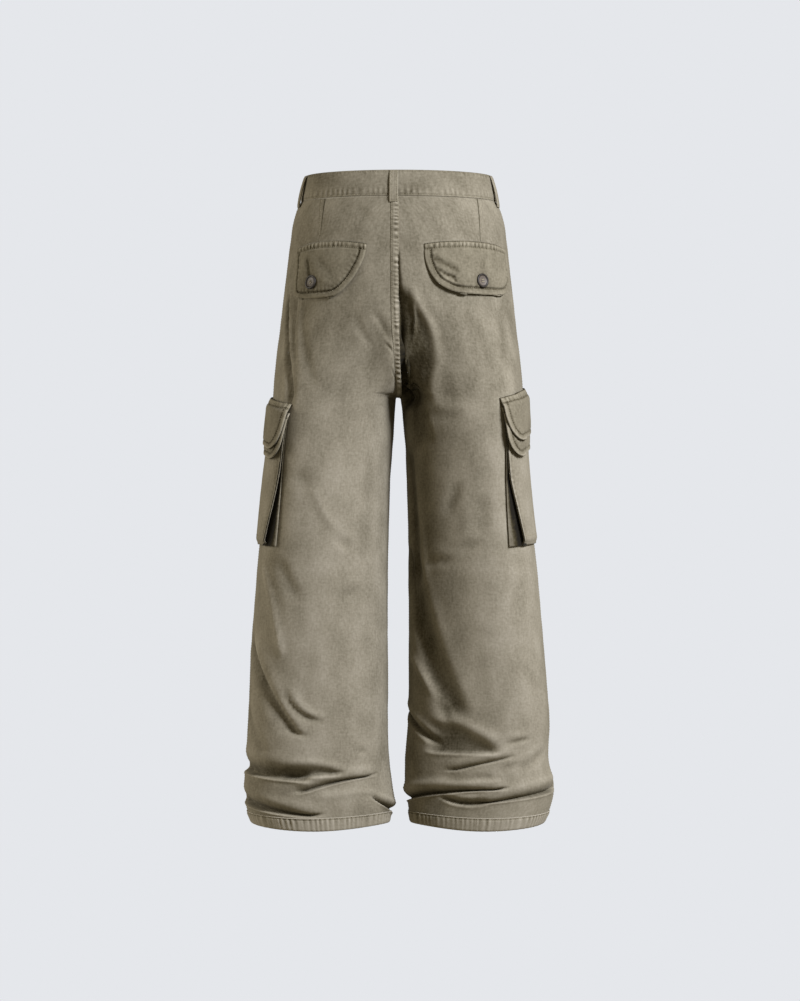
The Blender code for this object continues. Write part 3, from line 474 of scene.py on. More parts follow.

# %% [markdown]
# ## Washed cotton twill
# Real twill is woven so that one thread passes over two and under one, one step along in each row, which draws fine
# slanting ribs about 0.6 mm apart. That is far below one pixel, so it is drawn coarser: slubs of 1 to 2 mm along warp
# and weft, which is what the eye still sees from a few steps away. Garment washing then wears the dye off whatever
# stands out and leaves it in the hollows. Each piece carries that as an attribute called tone, which also carries
# painted shade and painted highlight: 1 is a worn ridge with a painted highlight, -1 a hollow with painted shade, and
# down to -3 is painted shadow inside a slit or under an edge.


# %% Colours and nodes
def linear(hex_colour):
    """An sRGB hex colour as linear RGBA."""
    channels = [int(hex_colour[i : i + 2], 16) / 255 for i in (1, 3, 5)]
    return (*[c / 12.92 if c <= 0.04045 else ((c + 0.055) / 1.055) ** 2.4 for c in channels], 1)


def add(material, kind, links=(), **settings):
    """Adds a node with its settings. links pairs an input's name or place with an output of another node."""
    node = material.node_tree.nodes.new(kind)
    inputs = settings.pop("inputs", {})
    for name, value in settings.items():
        setattr(node, name, value)
    for name, value in inputs.items():
        node.inputs[name].default_value = value
    for name, source in dict(links).items():
        material.node_tree.links.new(source, node.inputs[name])
    return node


def base(name, roughness, specular):
    """A new material and its shader."""
    material = bpy.data.materials.new(name)
    material.use_nodes = True
    shader = material.node_tree.nodes["Principled BSDF"]
    shader.inputs["Roughness"].default_value = roughness
    shader.inputs["Specular IOR Level"].default_value = specular
    return material, shader


def math_node(material, operation, first, second):
    """The sum or product of two outputs."""
    return add(material, "ShaderNodeMath", {0: first, 1: second}, operation=operation).outputs[0]


def fitted(material, value, low, high, to_low=0.0, to_high=1.0):
    """A value moved from one range to another."""
    ends = {"From Min": low, "From Max": high, "To Min": to_low, "To Max": to_high}
    return add(material, "ShaderNodeMapRange", {"Value": value}, inputs=ends).outputs[0]


def ramp(material, shader, value, *stops):
    """Colours the shader by a ramp. stops holds the first, the last and then the middle places and colours."""
    node = add(material, "ShaderNodeValToRGB", {"Fac": value})
    elements = node.color_ramp.elements
    for element, (spot, colour) in zip(elements, stops):
        element.position, element.color = spot, linear(colour)
    for spot, colour in stops[2:]:
        elements.new(spot).color = linear(colour)
    material.node_tree.links.new(node.outputs["Color"], shader.inputs["Base Color"])


def stretched(material, uv, along, across):
    """Noise whose grains are along by across, in mm of cloth."""
    spread = add(material, "ShaderNodeMapping", {"Vector": uv}, inputs={"Scale": (1 / across, 1 / along, 1)})
    grains = {"Scale": 1000.0, "Detail": 1.5, "Roughness": 0.6}
    vector = {"Vector": spread.outputs["Vector"]}
    return add(material, "ShaderNodeTexNoise", vector, noise_dimensions="2D", inputs=grains).outputs["Fac"]


# Painted shadow: the colour of twill deep in a slit or a fold, where no light reaches
PAINTED_SHADOW_COLOUR = "#120f08"
SLUB_DYE, CLOUD_DYE = 0.19, 0.18
RAMP_FOOT, DARK_AT, LIGHT_AT, PALE_RIDGE_AT = -1.5, 0.216, 0.600, 0.904


def twill(name, light, dark, pale_ridge):
    """Washed twill: matt, with a little fuzz, dyed unevenly, worn pale on what stands out, with painted shade in its
    hollows and a painted highlight on its ridges.
    """
    material, shader = base(name, 0.92, 0.18)
    shader.inputs["Sheen Weight"].default_value = 0.12
    shader.inputs["Sheen Roughness"].default_value = 0.45
    shader.inputs["Sheen Tint"].default_value = linear("#d8d2bf")
    uv = add(material, "ShaderNodeUVMap", uv_map="cloth").outputs["UV"]
    warp, weft = stretched(material, uv, 9.0, 3.0), stretched(material, uv, 3.0, 6.0)
    speck, cloud = stretched(material, uv, 4.6, 4.0), stretched(material, uv, 60.0, 36.0)
    grain = math_node(material, "ADD", math_node(material, "ADD", warp, weft), speck)
    dye = fitted(material, grain, 1.0, 2.0, -SLUB_DYE, SLUB_DYE)
    patches = fitted(material, cloud, 0.25, 0.75, -CLOUD_DYE, CLOUD_DYE)
    tone = add(material, "ShaderNodeAttribute", attribute_name="tone").outputs["Fac"]
    # The tone attribute, real wear together with painted shade and painted highlight, is added to the uneven dye
    wear_and_painted_light = add(material, "ShaderNodeMath", {0: tone}, operation="MULTIPLY", inputs={1: 0.5}).outputs[0]
    dye_wear_and_painted_light = math_node(material, "ADD", math_node(material, "ADD", dye, patches), wear_and_painted_light)
    # The ramp runs from painted shadow, through the hollows' dark dye with painted shade, to ridges worn pale with a
    # painted highlight
    shades = (0, PAINTED_SHADOW_COLOUR), (PALE_RIDGE_AT, pale_ridge), (DARK_AT, dark), (LIGHT_AT, light)
    ramp(material, shader, fitted(material, dye_wear_and_painted_light, RAMP_FOOT, 1.0), *shades)
    bump = add(material, "ShaderNodeBump", {"Height": grain}, inputs={"Strength": 0.22, "Distance": 0.3 * MM})
    material.node_tree.links.new(bump.outputs["Normal"], shader.inputs["Normal"])
    return material


twill_body = twill("washed_twill_body", "#7d7767", "#37311f", "#9b9586")
twill_flap = twill("washed_twill_doubled", "#777160", "#332d1c", "#989282")
twill_band = twill("washed_twill_interlined", "#7b7565", "#37311f", "#9b9586")
print("materials", [material.name for material in (twill_body, twill_flap, twill_band)])

# %% [markdown]
# ## A sheet of cloth as a mesh
# create_grid gives a flat net of squares, and each corner is then lifted to its place on the body. A Solidify modifier
# turns the net into a wall. The UV map holds real metres along the cloth, so the weave is the same size on all pieces.


# %% Making a cloth piece
SEAT_SHIFT, LEG_BAND_LIFT, LEG_BASE = -0.55, 0.55, -0.42
PALE_BAND_LEFT, PALE_BAND_RIGHT, PALE_BAND_WIDTH = -0.122, 0.176, 0.088


def seat_and_leg_shift(points):
    """How much darker or paler the colour is at places on the body: darker over the seat, paler in a band down each
    leg.
    """
    x, z = points[..., 0], points[..., 2]
    on_leg = smoothstep((CROTCH + 0.10 - z) / 0.24)
    middle = np.where(x < 0, PALE_BAND_LEFT, PALE_BAND_RIGHT)
    return SEAT_SHIFT + (LEG_BASE - SEAT_SHIFT + LEG_BAND_LIFT * bell((x - middle) / PALE_BAND_WIDTH)) * on_leg


def own_facing(points, like):
    """Outward directions worked out from the points themselves, on the side that like points to."""
    facing = unit(np.cross(np.gradient(points, axis=0), np.gradient(points, axis=1)))
    return facing * np.sign((facing * like).sum(-1, keepdims=True))


def shown(name, data):
    """An object for finished data, in the scene."""
    thing = bpy.data.objects.new(name, data)
    bpy.context.scene.collection.objects.link(thing)
    return thing


def cloth(name, points, facing, flat, tone, material, wall, node):
    """A wall of cloth whose outer skin is the grid of points. flat says where they lie on the flat cloth, in metres."""
    rows, columns = points.shape[:2]
    mesh = bmesh.new()
    bmesh.ops.create_grid(mesh, x_segments=columns - 1, y_segments=rows - 1, size=1)
    data = bpy.data.meshes.new(name)
    mesh.to_mesh(data)
    mesh.free()
    data.vertices.foreach_set("co", points.astype(np.float32).ravel())
    outwards = np.cross(np.gradient(points, axis=1), np.gradient(points, axis=0))
    if (outwards * facing).sum() < 0:
        data.flip_normals()
    flat = np.stack([np.broadcast_to(part, (rows, columns)) for part in flat], axis=-1).reshape(-1, 2)
    corners = np.empty(len(data.loops), np.int32)
    data.loops.foreach_get("vertex_index", corners)
    layer = data.uv_layers.new(name="cloth")
    layer.data.foreach_set("uv", flat[corners].astype(np.float32).ravel())
    shade = data.attributes.new("tone", "FLOAT", "POINT")
    shade.data.foreach_set("value", (tone + seat_and_leg_shift(points)).astype(np.float32).ravel())
    data.shade_smooth()
    data.materials.append(material)
    data.update()
    piece = shown(name, data)
    thick = piece.modifiers.new("wall", "SOLIDIFY")
    thick.thickness, thick.offset = wall, -1
    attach(piece, "root")
    if node:
        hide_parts(node)
    steps_down = np.linalg.norm(np.diff(points, axis=0), axis=-1)
    steps_across = np.linalg.norm(np.diff(points, axis=1), axis=-1)
    length, width = steps_down.sum(0).max(), steps_across.sum(1).max()
    area = (steps_down[:, :-1] * steps_across[:-1]).sum()
    area = min(max(area, 0.301 * width * length), width * length)
    print(f"{name}: {rows} x {columns} points, cut {width:.3f} x {length:.3f} m")


# %% [markdown]
# ## Leg panels
# Two back and two front panels carry everything. They are single twill, 0.8 mm of cloth made a little thicker so that
# the hems and the waist don't look like paper.

# %% Back and front panels
PANEL_WALL = 1.4 * MM


def panel(name, half, first, last):
    columns = slice(first, last + 1)
    points, facing = half.points[:, columns].copy(), half.facing[:, columns]
    way = -1 if first == 0 else 1
    points[..., 1] = way * np.maximum(way * points[..., 1], SEAM_GAP / 2)
    flat = half.cut[:, columns], half.heights[:, None]
    cloth(name, points, facing, flat, half.tone[:, columns], twill_body, PANEL_WALL, name)


for leg, word in WORD.items():
    panel("back_" + word, halves[leg], 0, PANEL_COLUMNS)
    panel("front_" + word, halves[leg], PANEL_COLUMNS, 2 * PANEL_COLUMNS)

# %% [markdown]
# ## Puckers and small hand-placed creases
# A line of stitches shrinks more in the wash than the cloth does, so the cloth gathers into a row of small puckers
# along it, 7 to 10 mm apart and never quite even. A slow noise moves and scales a sine wave to give that.


# %% Puckers along a seam
def wander(along, size, seed):
    """Slow noise along a line, from -1 to 1."""
    return np.array([noise.noise(Vector((spot / size, seed, 0.37))) for spot in np.ravel(along)]).reshape(along.shape)


def puckers(along, pitch, seed):
    """Heights of the puckers, about -1 to 1, at places along a seam in metres."""
    place = along / pitch + 0.9 * wander(along, 3.3 * pitch, seed)
    height = 0.65 + 0.9 * wander(along, 2.1 * pitch, seed + 5.5)
    return np.sin(2 * math.pi * place) * height


def edge_distance(across, down):
    """Distance from each point of a flat piece to its two sides and its foot, and how far along them that is."""
    spots = np.stack([across, down], axis=-1)
    rim = np.concatenate([spots[:, 0], spots[-1, 1:], spots[-2::-1, -1]])
    gap = np.linalg.norm(spots.reshape(-1, 1, 2) - rim, axis=2)
    return gap.min(1).reshape(across.shape), walk(rim)[gap.argmin(1)].reshape(across.shape)


# %% [markdown]
# ## Stitches
# Topstitching is a row of short thread bars that lie in their own groove. Each bar is an icosphere pulled long, which
# has only 20 faces, so that a few thousand of them stay light. A run of stitches follows a line laid on its piece.


# %% Sewing
thread_mat, thread_shader = base("cotton_thread", 0.8, 0.25)
thread_place = add(thread_mat, "ShaderNodeTexCoord").outputs["Object"]
thread_noise = add(thread_mat, "ShaderNodeTexNoise", {"Vector": thread_place}, inputs={"Scale": 260.0})
ramp(thread_mat, thread_shader, thread_noise.outputs["Fac"], (0, "#6d6650"), (1, "#a39b84"))
PITCH = 3.6
STITCH_PITCH, STITCH_LENGTH = PITCH * MM, 2.5 * MM
STITCH_WIDTH, STITCH_HEIGHT = 0.85 * MM, 0.55 * MM
SEAM_PITCH, LOOP_PITCH, STITCH_LIFT = 4.2 * MM, 3.2 * MM, 0.1 * MM


class Flat:
    """A finished piece that can be asked for the place of any spot on its flat pattern."""

    def __init__(self, points, facing, across, down):
        self.points, self.facing, self.across = points, facing, across
        self.rows = down[:, down.shape[1] // 2]

    def spot(self, u, v):
        """The point and the outward direction at u across and v down the flat pattern."""
        row = np.interp(v, self.rows, np.arange(len(self.rows)))
        i = min(int(row), len(self.rows) - 2)
        t = row - i
        line = self.across[i] * (1 - t) + self.across[i + 1] * t
        column = np.interp(u, line, np.arange(len(line)))
        j = min(int(column), len(line) - 2)
        square = i, j, t, column - j
        return between(self.points, *square), unit(between(self.facing, *square))

    def run(self, line):
        """A line of (u, v) places laid on the piece."""
        return [self.spot(u, v) for u, v in line]


def even_line(corners, step=PITCH):
    """Places a step apart along straight runs between corners."""
    corners = np.array(corners, float)
    walked = walk(corners)
    spots = np.arange(step / 2, walked[-1], step)
    return np.stack([np.interp(spots, walked, column) for column in corners.T], axis=1)


def stitch_places(first, last, length, pitch=STITCH_PITCH):
    """Places on a grid from first to last, for stitches a pitch apart over a length."""
    return np.linspace(first, last, int(length / pitch)).astype(int)


def picked(points, facing, rows, columns):
    """The points and outward directions at rows and columns of a grid."""
    return [(points[i, j], facing[i, j]) for i, j in np.broadcast(rows, columns)]


def sew(name, runs, size=1.0):
    """One joined mesh of thread bars. Each run is a list of points with outward directions, a pitch apart."""
    mesh = bmesh.new()
    for run in runs:
        ways = np.gradient(np.array([point for point, _ in run]), axis=0)
        for (point, facing), way in zip(run, ways):
            way, facing = Vector(way).normalized(), Vector(facing)
            side = facing.cross(way).normalized()
            up = way.cross(side)
            turn = Matrix((way * STITCH_LENGTH, side * STITCH_WIDTH, up * STITCH_HEIGHT)).transposed() * (size / 2)
            place = Matrix.Translation(Vector(point) + facing * STITCH_LIFT) @ turn.to_4x4()
            bmesh.ops.create_icosphere(mesh, subdivisions=1, radius=1, matrix=place)
    data = bpy.data.meshes.new(name)
    mesh.to_mesh(data)
    mesh.free()
    data.materials.append(thread_mat)
    data.shade_smooth()
    piece = shown(name, data)
    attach(piece, "root")
    print(name, len(data.polygons) // 20, "stitches")


def seam_run(half, around, heights):
    """Stitches down the cloth of a leg at distances from the side seam and heights."""
    points, facing = half.at(around, heights)
    return list(zip(points + facing * STITCH_LIFT, facing))


# %% [markdown]
# ## Seams of the seat and the legs
# The seat seam is felled: one edge is folded round the other and both are stitched down, which leaves a ridge 12 mm
# wide with a row of stitches on each side and ladder-like puckers between them. It is a narrow strip laid along the
# seam. Side seams and inseams are felled too, but less gathered, so a low ridge in the panels stands for them.

# %% Seat seam
FELL_WIDTH = 12.5 * MM
FELL_WALL = 1.0 * MM
FELL_TOP, FELL_FOOT = -0.0205, -0.3235
FELL_PITCH = 7.4 * MM
FELL_SLIP, FELL_START, FELL_NARROWED = 4.6 * MM, 0.36, 0.28
FELL_ROWS, FELL_COLUMNS = 300, 15
FELL_ROW_SHARES, FELL_RIDGE = (0.16, 0.90), 0.62
BRIDGE_ROOT, BRIDGE_COLUMN = -2 * MM, 4
BRIDGE_TOP, BRIDGE_FADE, BRIDGE_BEND = -0.185, 0.05, 1.5 * MM


def seat_seam():
    heights = np.linspace(FELL_TOP, FELL_FOOT, FELL_ROWS)
    share = np.linspace(0, 1, FELL_COLUMNS)
    low = 1 - level(SEAT_SEAM, "shift", heights) / SEAT_SEAM["shift"][0]
    beside = (share - FELL_START) * FELL_WIDTH * (1 - FELL_NARROWED * low[:, None]) - FELL_SLIP * low[:, None]
    z = heights[:, None] + 0 * beside
    sides = [half.at(abs(beside) - half.back_length(z), z) for half in (halves[LEFT], halves[RIGHT])]
    points, facing = (np.where(beside[..., None] < 0, left, right) for left, right in zip(*sides))
    # The strip is stiff: low on the seat it doesn't follow the cloth down into the valley, but goes straight on over it
    root_beside = np.minimum(beside[:, BRIDGE_COLUMN], BRIDGE_ROOT)
    root, root_facing = halves[LEFT].at(-root_beside - halves[LEFT].back_length(heights), heights)
    past_root = beside - root_beside[:, None]
    straight = root[:, None] + past_root[..., None] * np.array((1.0, 0.0, 0.0))
    bridging = smoothstep((BRIDGE_TOP - z) / BRIDGE_FADE) * smoothstep(past_root / BRIDGE_BEND)
    points = points + (straight - points) * bridging[..., None]
    facing = unit(facing + (root_facing[:, None] - facing) * bridging[..., None])
    ladder = puckers(heights, FELL_PITCH, 3.1)[:, None] * bell((share - FELL_RIDGE) / 0.28)
    grooves = sum(bell((share - place) / 0.07) for place in FELL_ROW_SHARES)
    lift = FELL_WALL + 0.4 * MM + (1.1 * ladder - 0.7 * grooves) * MM
    lift -= 1.0 * MM * (bell(share / 0.06) + bell((1 - share) / 0.06))
    points = points + facing * lift[..., None]
    # Painted shade in the stitch grooves, puckers paler on their ridges, and a painted highlight that grows towards the
    # crotch so the strip shows in the valley's shadow
    tone = 1.1 * ladder - 0.7 * grooves + 0.25 + 1.0 * low[:, None]
    cloth("seat_seam", points, facing, (beside, z), tone, twill_body, FELL_WALL, None)
    sewn = []
    for place in FELL_ROW_SHARES:
        j, part = divmod(place * (FELL_COLUMNS - 1), 1)
        line = points[:, int(j)] * (1 - part) + points[:, int(j) + 1] * part
        sewn.append([(line[i], facing[i, int(j)]) for i in stitch_places(3, FELL_ROWS - 2, FELL_TOP - FELL_FOOT)])
    sew("stitches_seat_seam", sewn, 0.95)


seat_seam()

# %% Darts below the waistband
DARTS = table(
    "leg seam foot height width",
    (LEFT, 0.1125, 0.1195, 0.058, 0.011),
    (RIGHT, 0.1385, 0.1430, 0.066, 0.011),
)
DART_WALL, DART_ROWS, DART_COLUMNS = 0.6 * MM, 44, 9


def dart(name, half, seam, foot, height, width):
    """The folded cloth of a dart: a thin wedge that ends in nothing, with its stitched edge away from the seat."""
    t, share = np.linspace(0, 1, DART_ROWS)[:, None], np.linspace(0, 1, DART_COLUMNS)[None]
    z = BAND_FOOT - 1 * MM - height * t + 0 * share
    from_seam = seam + (foot - seam) * t + width * (1 - 0.75 * t) * share
    points, facing = half.at(from_seam - half.back_length(z), z)
    lift = (0.25 * (1 - 0.6 * t) + 0.12 * puckers(z, 6 * MM, 1.7)) * MM * (1 - share)
    points = points + facing * (lift + 0.1 * MM)[..., None]
    # Painted shade along the dart's stitched edge
    tone = -1.8 * bell(share / 0.16) + 0 * t
    cloth(name, points, facing, (from_seam, z), tone, twill_body, DART_WALL, None)
    sew("stitches_" + name, [picked(points, facing, stitch_places(2, DART_ROWS - 4, height), 6)], 0.8)


for leg, seam, foot, height, width in np.array(list(DARTS.values())).T:
    dart("dart_" + WORD[leg], halves[leg], seam, foot, height, width)

# %% Side seams and inseams
SEAM_ROWS = (2.2 * MM, 8.6 * MM)
for leg, word in WORD.items():
    half = halves[leg]
    tops = BAND_FOOT - 0.004, CROTCH - 0.02
    rows, low = (even_line([(top, 0), (HEM + 0.024, 0)], SEAM_PITCH)[:, 0] for top in tops)
    runs = [seam_run(half, np.full_like(rows, -gap), rows) for gap in SEAM_ROWS]
    runs += [seam_run(half, gap - half.back_length(low), low) for gap in SEAM_ROWS]
    sew("stitches_leg_seams_" + word, runs, 0.9)

# %% [markdown]
# ## Hems
# Each hem is the leg's last 20 mm turned up and stitched. Two plies shrink less than the stitches do, so the fold
# gathers into short upright ribs. It is a ring of its own, laid on the panels, with a rolled foot.

# %% Turned-up hems
HEM_HEIGHT = 20.5 * MM
HEM_WALL = 1.1 * MM
HEM_COLUMNS, HEM_ROWS = 480, 17
HEM_STITCHES = 0.10


def hem(name, half):
    t = packed(HEM_ROWS, 0.35)[:, None]
    share = np.linspace(0, 1, HEM_COLUMNS)
    z = HEM + HEM_HEIGHT * (1 - t) + 0 * share
    around = share * half.girth(z) - half.back_length(z)
    points, facing = half.at(around, z)
    ribs = puckers(around[-1], 8.4 * MM, 2.2 + half.leg) + 0.45 * puckers(around[-1], 5.3 * MM, 6.1 + half.leg)
    body = smoothstep(t / 0.12) * (0.45 + 0.55 * bell((t - 0.28) / 0.25))
    roll = bell((1 - t) / 0.07)
    lift = HEM_WALL + (0.4 + 0.6 * ribs * body - 0.8 * bell((t - HEM_STITCHES) / 0.05) - 1.1 * roll) * MM
    points = points + facing * lift[..., None]
    points[..., 2] -= 0.3 * MM * roll
    # Ribs paler on their ridges, painted shade in the stitch groove, painted highlight along the top fold and the
    # rolled foot, and the whole hem a little paler
    tone = 0.8 * ribs * body - 1.4 * bell((t - 0.12) / 0.05) + 1.1 * bell(t / 0.05) + 0.6 * bell((1 - t) / 0.12) + 0.6
    cloth(name, points, facing, (around, z), tone, twill_body, HEM_WALL, None)
    row = int(np.argmin(abs(t[:, 0] - HEM_STITCHES)))
    sew("stitches_" + name, [picked(points, facing, row, stitch_places(0, HEM_COLUMNS - 1, half.girth(HEM)))])


for leg, word in WORD.items():
    hem("hem_" + word, halves[leg])

# %% [markdown]
# ## Waistband and belt loops
# The band is one straight strip, interlined so that it stands, and stitched along both edges. The loops are folded
# strips sewn at the band's top and just below its foot. They bow off the band, so that a belt passes under them.

# %% Waistband
BAND_WALL, BAND_PROUD = 2.6 * MM, 0.6 * MM
OVERLAP_START, UNDERLAP_END = -9.0, 367.0
OVERLAP_LIFT, OVERLAP_FLAT, OVERLAP_EASE = BAND_WALL + 0.5 * MM, 8, 18
BAND_COLUMNS, BAND_ROWS = 590, 27
BAND_STITCHES = (0.93, 0.065)


def band_surface(turn, z):
    """Points and outward directions of the waist. Turn 0 is the front, 90 the left, 180 the back, 270 the right."""
    share = (z - BAND_FOOT) / (BAND_TOP - BAND_FOOT)
    angle = np.radians(turn)
    ends = (TORSO[part][:2] for part in ("side", "seat", "belly"))
    side, seat, belly = (foot + (top - foot) * share for top, foot in ends)
    reach = np.where(np.cos(angle) > 0, belly, seat)
    points = np.stack([-np.sin(angle) * side, np.cos(angle) * reach, z + 0 * angle], axis=-1)
    facing = np.stack([-np.sin(angle) / side, np.cos(angle) / reach, 0 * angle], axis=-1)
    return points, unit(facing)


def waistband():
    turns = np.linspace(OVERLAP_START, UNDERLAP_END, BAND_COLUMNS)
    t = packed(BAND_ROWS, 0.5)[:, None]
    z = BAND_TOP + (BAND_FOOT - BAND_TOP) * t + 0 * turns
    points, facing = band_surface(turns + 0 * z, z)
    walked = walk(points[0])
    foot, top = puckers(walked, 9.5 * MM, 0.4), puckers(walked, 8.3 * MM, 8.8)
    gathers = 0.62 * foot * bell((t - 0.82) / 0.13) + 0.28 * top * bell((t - 0.1) / 0.08)
    grooves = bell((t - BAND_STITCHES[0]) / 0.022) + 0.8 * bell((t - BAND_STITCHES[1]) / 0.02)
    soft = drift(points, 0.045, 1.0)
    rolled = bell(t / 0.03) + bell((1 - t) / 0.025)
    out = gathers + 0.55 * soft - 0.4 * grooves - 0.8 * rolled
    lift = OVERLAP_LIFT * (1 - smoothstep((turns - OVERLAP_FLAT) / OVERLAP_EASE)) + BAND_PROUD + out * MM
    points = points + facing * lift[..., None]
    # Gathers paler on their ridges, painted shade in the stitch grooves and along the top edge, painted highlight along
    # the foot
    tone = 0.8 * gathers - 0.55 * grooves + 0.35 * bell((1 - t) / 0.05) - 0.5 * bell(t / 0.035) + 0.25 * soft
    flat = z, walked
    cloth("waistband", points, facing, flat, tone, twill_band, BAND_WALL, "waistband")
    spots = stitch_places(2, BAND_COLUMNS - 3, walked[-1])
    rows = [int(np.argmin(abs(t[:, 0] - place))) for place in BAND_STITCHES]
    sew("stitches_waistband", [picked(points, facing, row, spots) for row in rows], 0.85)


# %% Belt loops
LOOP_TOP, LOOP_FOOT = 0.0192, -0.0300
LOOP_WIDTH, LOOP_WALL, LOOP_BOW = 13.7 * MM, 1.8 * MM, 1.6 * MM
LOOP_ROWS, LOOP_COLUMNS = 56, 19
SIDE_LOOP, FRONT_LOOP = 0.89, 1.52
LIFT = 0.9 * MM


def belt_loop(name, half, back_share):
    """A bowed strip. back_share says where it stands: 0 the back seam, 1 the side seam, 2 the front seam."""
    z_foot = np.array(LOOP_FOOT)
    length = half.back_length(z_foot) if back_share <= 1 else half.front_length(z_foot)
    foot, _ = half.at((back_share - 1) * length, z_foot)
    turn = math.degrees(math.atan2(-foot[0] / TORSO["side"][1], foot[1] / TORSO["belly"][1])) % 360
    top, facing = band_surface(np.array(turn), np.array(LOOP_TOP))
    top = top + facing * (BAND_PROUD + 0.4 * MM)
    foot = foot + facing * LIFT
    sideways = np.cross((0, 0, 1), facing)
    t, share = np.linspace(0, 1, LOOP_ROWS)[:, None], np.linspace(-1, 1, LOOP_COLUMNS)[None]
    along = (top[2] - foot[2]) * t
    rungs = puckers(along[:, 0], 5.2 * MM, back_share + 0.2)[:, None]
    columns = bell((abs(share) - 0.55) / 0.12)
    out = LOOP_BOW * np.sin(math.pi * t) + LOOP_WALL + (0.3 * rungs - 0.35) * MM * columns
    out = out - 0.9 * MM * bell((1 - abs(share)) / 0.09) - 0.8 * MM * (bell(t / 0.02) + bell((1 - t) / 0.02))
    tacks = bell((t - 0.035) / 0.02) + bell((t - 0.955) / 0.02)
    out = out - 0.5 * MM * tacks
    middle = top + (foot - top) * t[..., None]
    points = middle + sideways * (share[..., None] * LOOP_WIDTH / 2) + facing * out[..., None]
    facing = np.broadcast_to(facing, points.shape)
    # Puckers paler on their ridges, folded edges paler, painted shade at the sunk bar tacks
    tone = 0.45 * rungs * columns + 0.5 * bell((1 - abs(share)) / 0.15) - 0.5 * tacks + 0.15
    flat = share * LOOP_WIDTH / 2, along
    cloth(name, points, facing, flat, tone, twill_band, LOOP_WALL, name)
    spots = stitch_places(3, LOOP_ROWS - 4, LOOP_TOP - LOOP_FOOT, LOOP_PITCH)
    runs = [picked(points, facing, spots, j) for j in (4, LOOP_COLUMNS - 5)]
    runs += [picked(points, facing, i, range(3, LOOP_COLUMNS - 2, 2)) for i in (2, LOOP_ROWS - 3)]
    sew("stitches_" + name, runs, 0.85)


waistband()
for leg, word in WORD.items():
    belt_loop("belt_loop_side_" + word, halves[leg], SIDE_LOOP)
    belt_loop("belt_loop_front_" + word, halves[leg], FRONT_LOOP)
belt_loop("belt_loop_centre_back", halves[RIGHT], 0.0)

# %% [markdown]
# ## Back pocket flaps
# A flap is two plies, bagged out and turned, then topstitched 10 mm inside its edge. The stitches sink, the rim rolls
# and the field inside swells. The sewn-on top edge is a narrow puckered band.

# %% Flap outlines
LEFT_FLAP = table(
    "down inner outer",
    (0, 40, 171),
    (22, 44, 173),
    (44, 54, 175),
    (60, 64, 176.5),
    (70, 73, 176.5),
    (78, 81.5, 175),
    (83, 89, 171),
    (86, 97, 164),
    (87.2, 106, 154),
)
RIGHT_FLAP = table(
    "down inner outer",
    (0, 47, 207),
    (22, 48, 212),
    (44, 54, 215.5),
    (56, 60, 215),
    (66, 68, 210),
    (73, 79, 203),
    (78, 91, 194),
    (80.6, 104, 183),
    (81.4, 114, 172),
)
FLAP_TOP, FLAP_ARCH, ARCH_MIDDLE, ARCH_FADE = -0.0885, 7 * MM, 0.45, 76
FLAP_WALL = 2.0 * MM
FLAP_ROWS, FLAP_COLUMNS = 66, 104
# In mm of the flat flap: the topstitching's inset, and the heights of the stitched top band
TOPSTITCH, TOP_BAND, TOP_STITCH = 9.6, 9.0, 1.6
CURL_FROM, CURL_HEIGHT, CURL_WIDTH = 25, 45, 160
# Small creases as rows for strokes()
LEFT_FLAP_STROKES = ((142, 24, 136, 60, 3.5, 1.9), (120, 30, 98, 50, 6, 0.6), (112, 60, 96, 66, 5, -0.5))
RIGHT_FLAP_STROKES = (
    (60, 24, 100, 46, 4.0, 1.8),
    (66, 42, 84, 54, 2.4, 2.0),
    (82, 52, 94, 56, 2.4, 1.8),
    (90, 55, 96, 64, 2.2, 1.6),
    (74, 58, 92, 66, 3.0, -1.0),
    (150, 18, 143, 44, 5, 0.8),
)


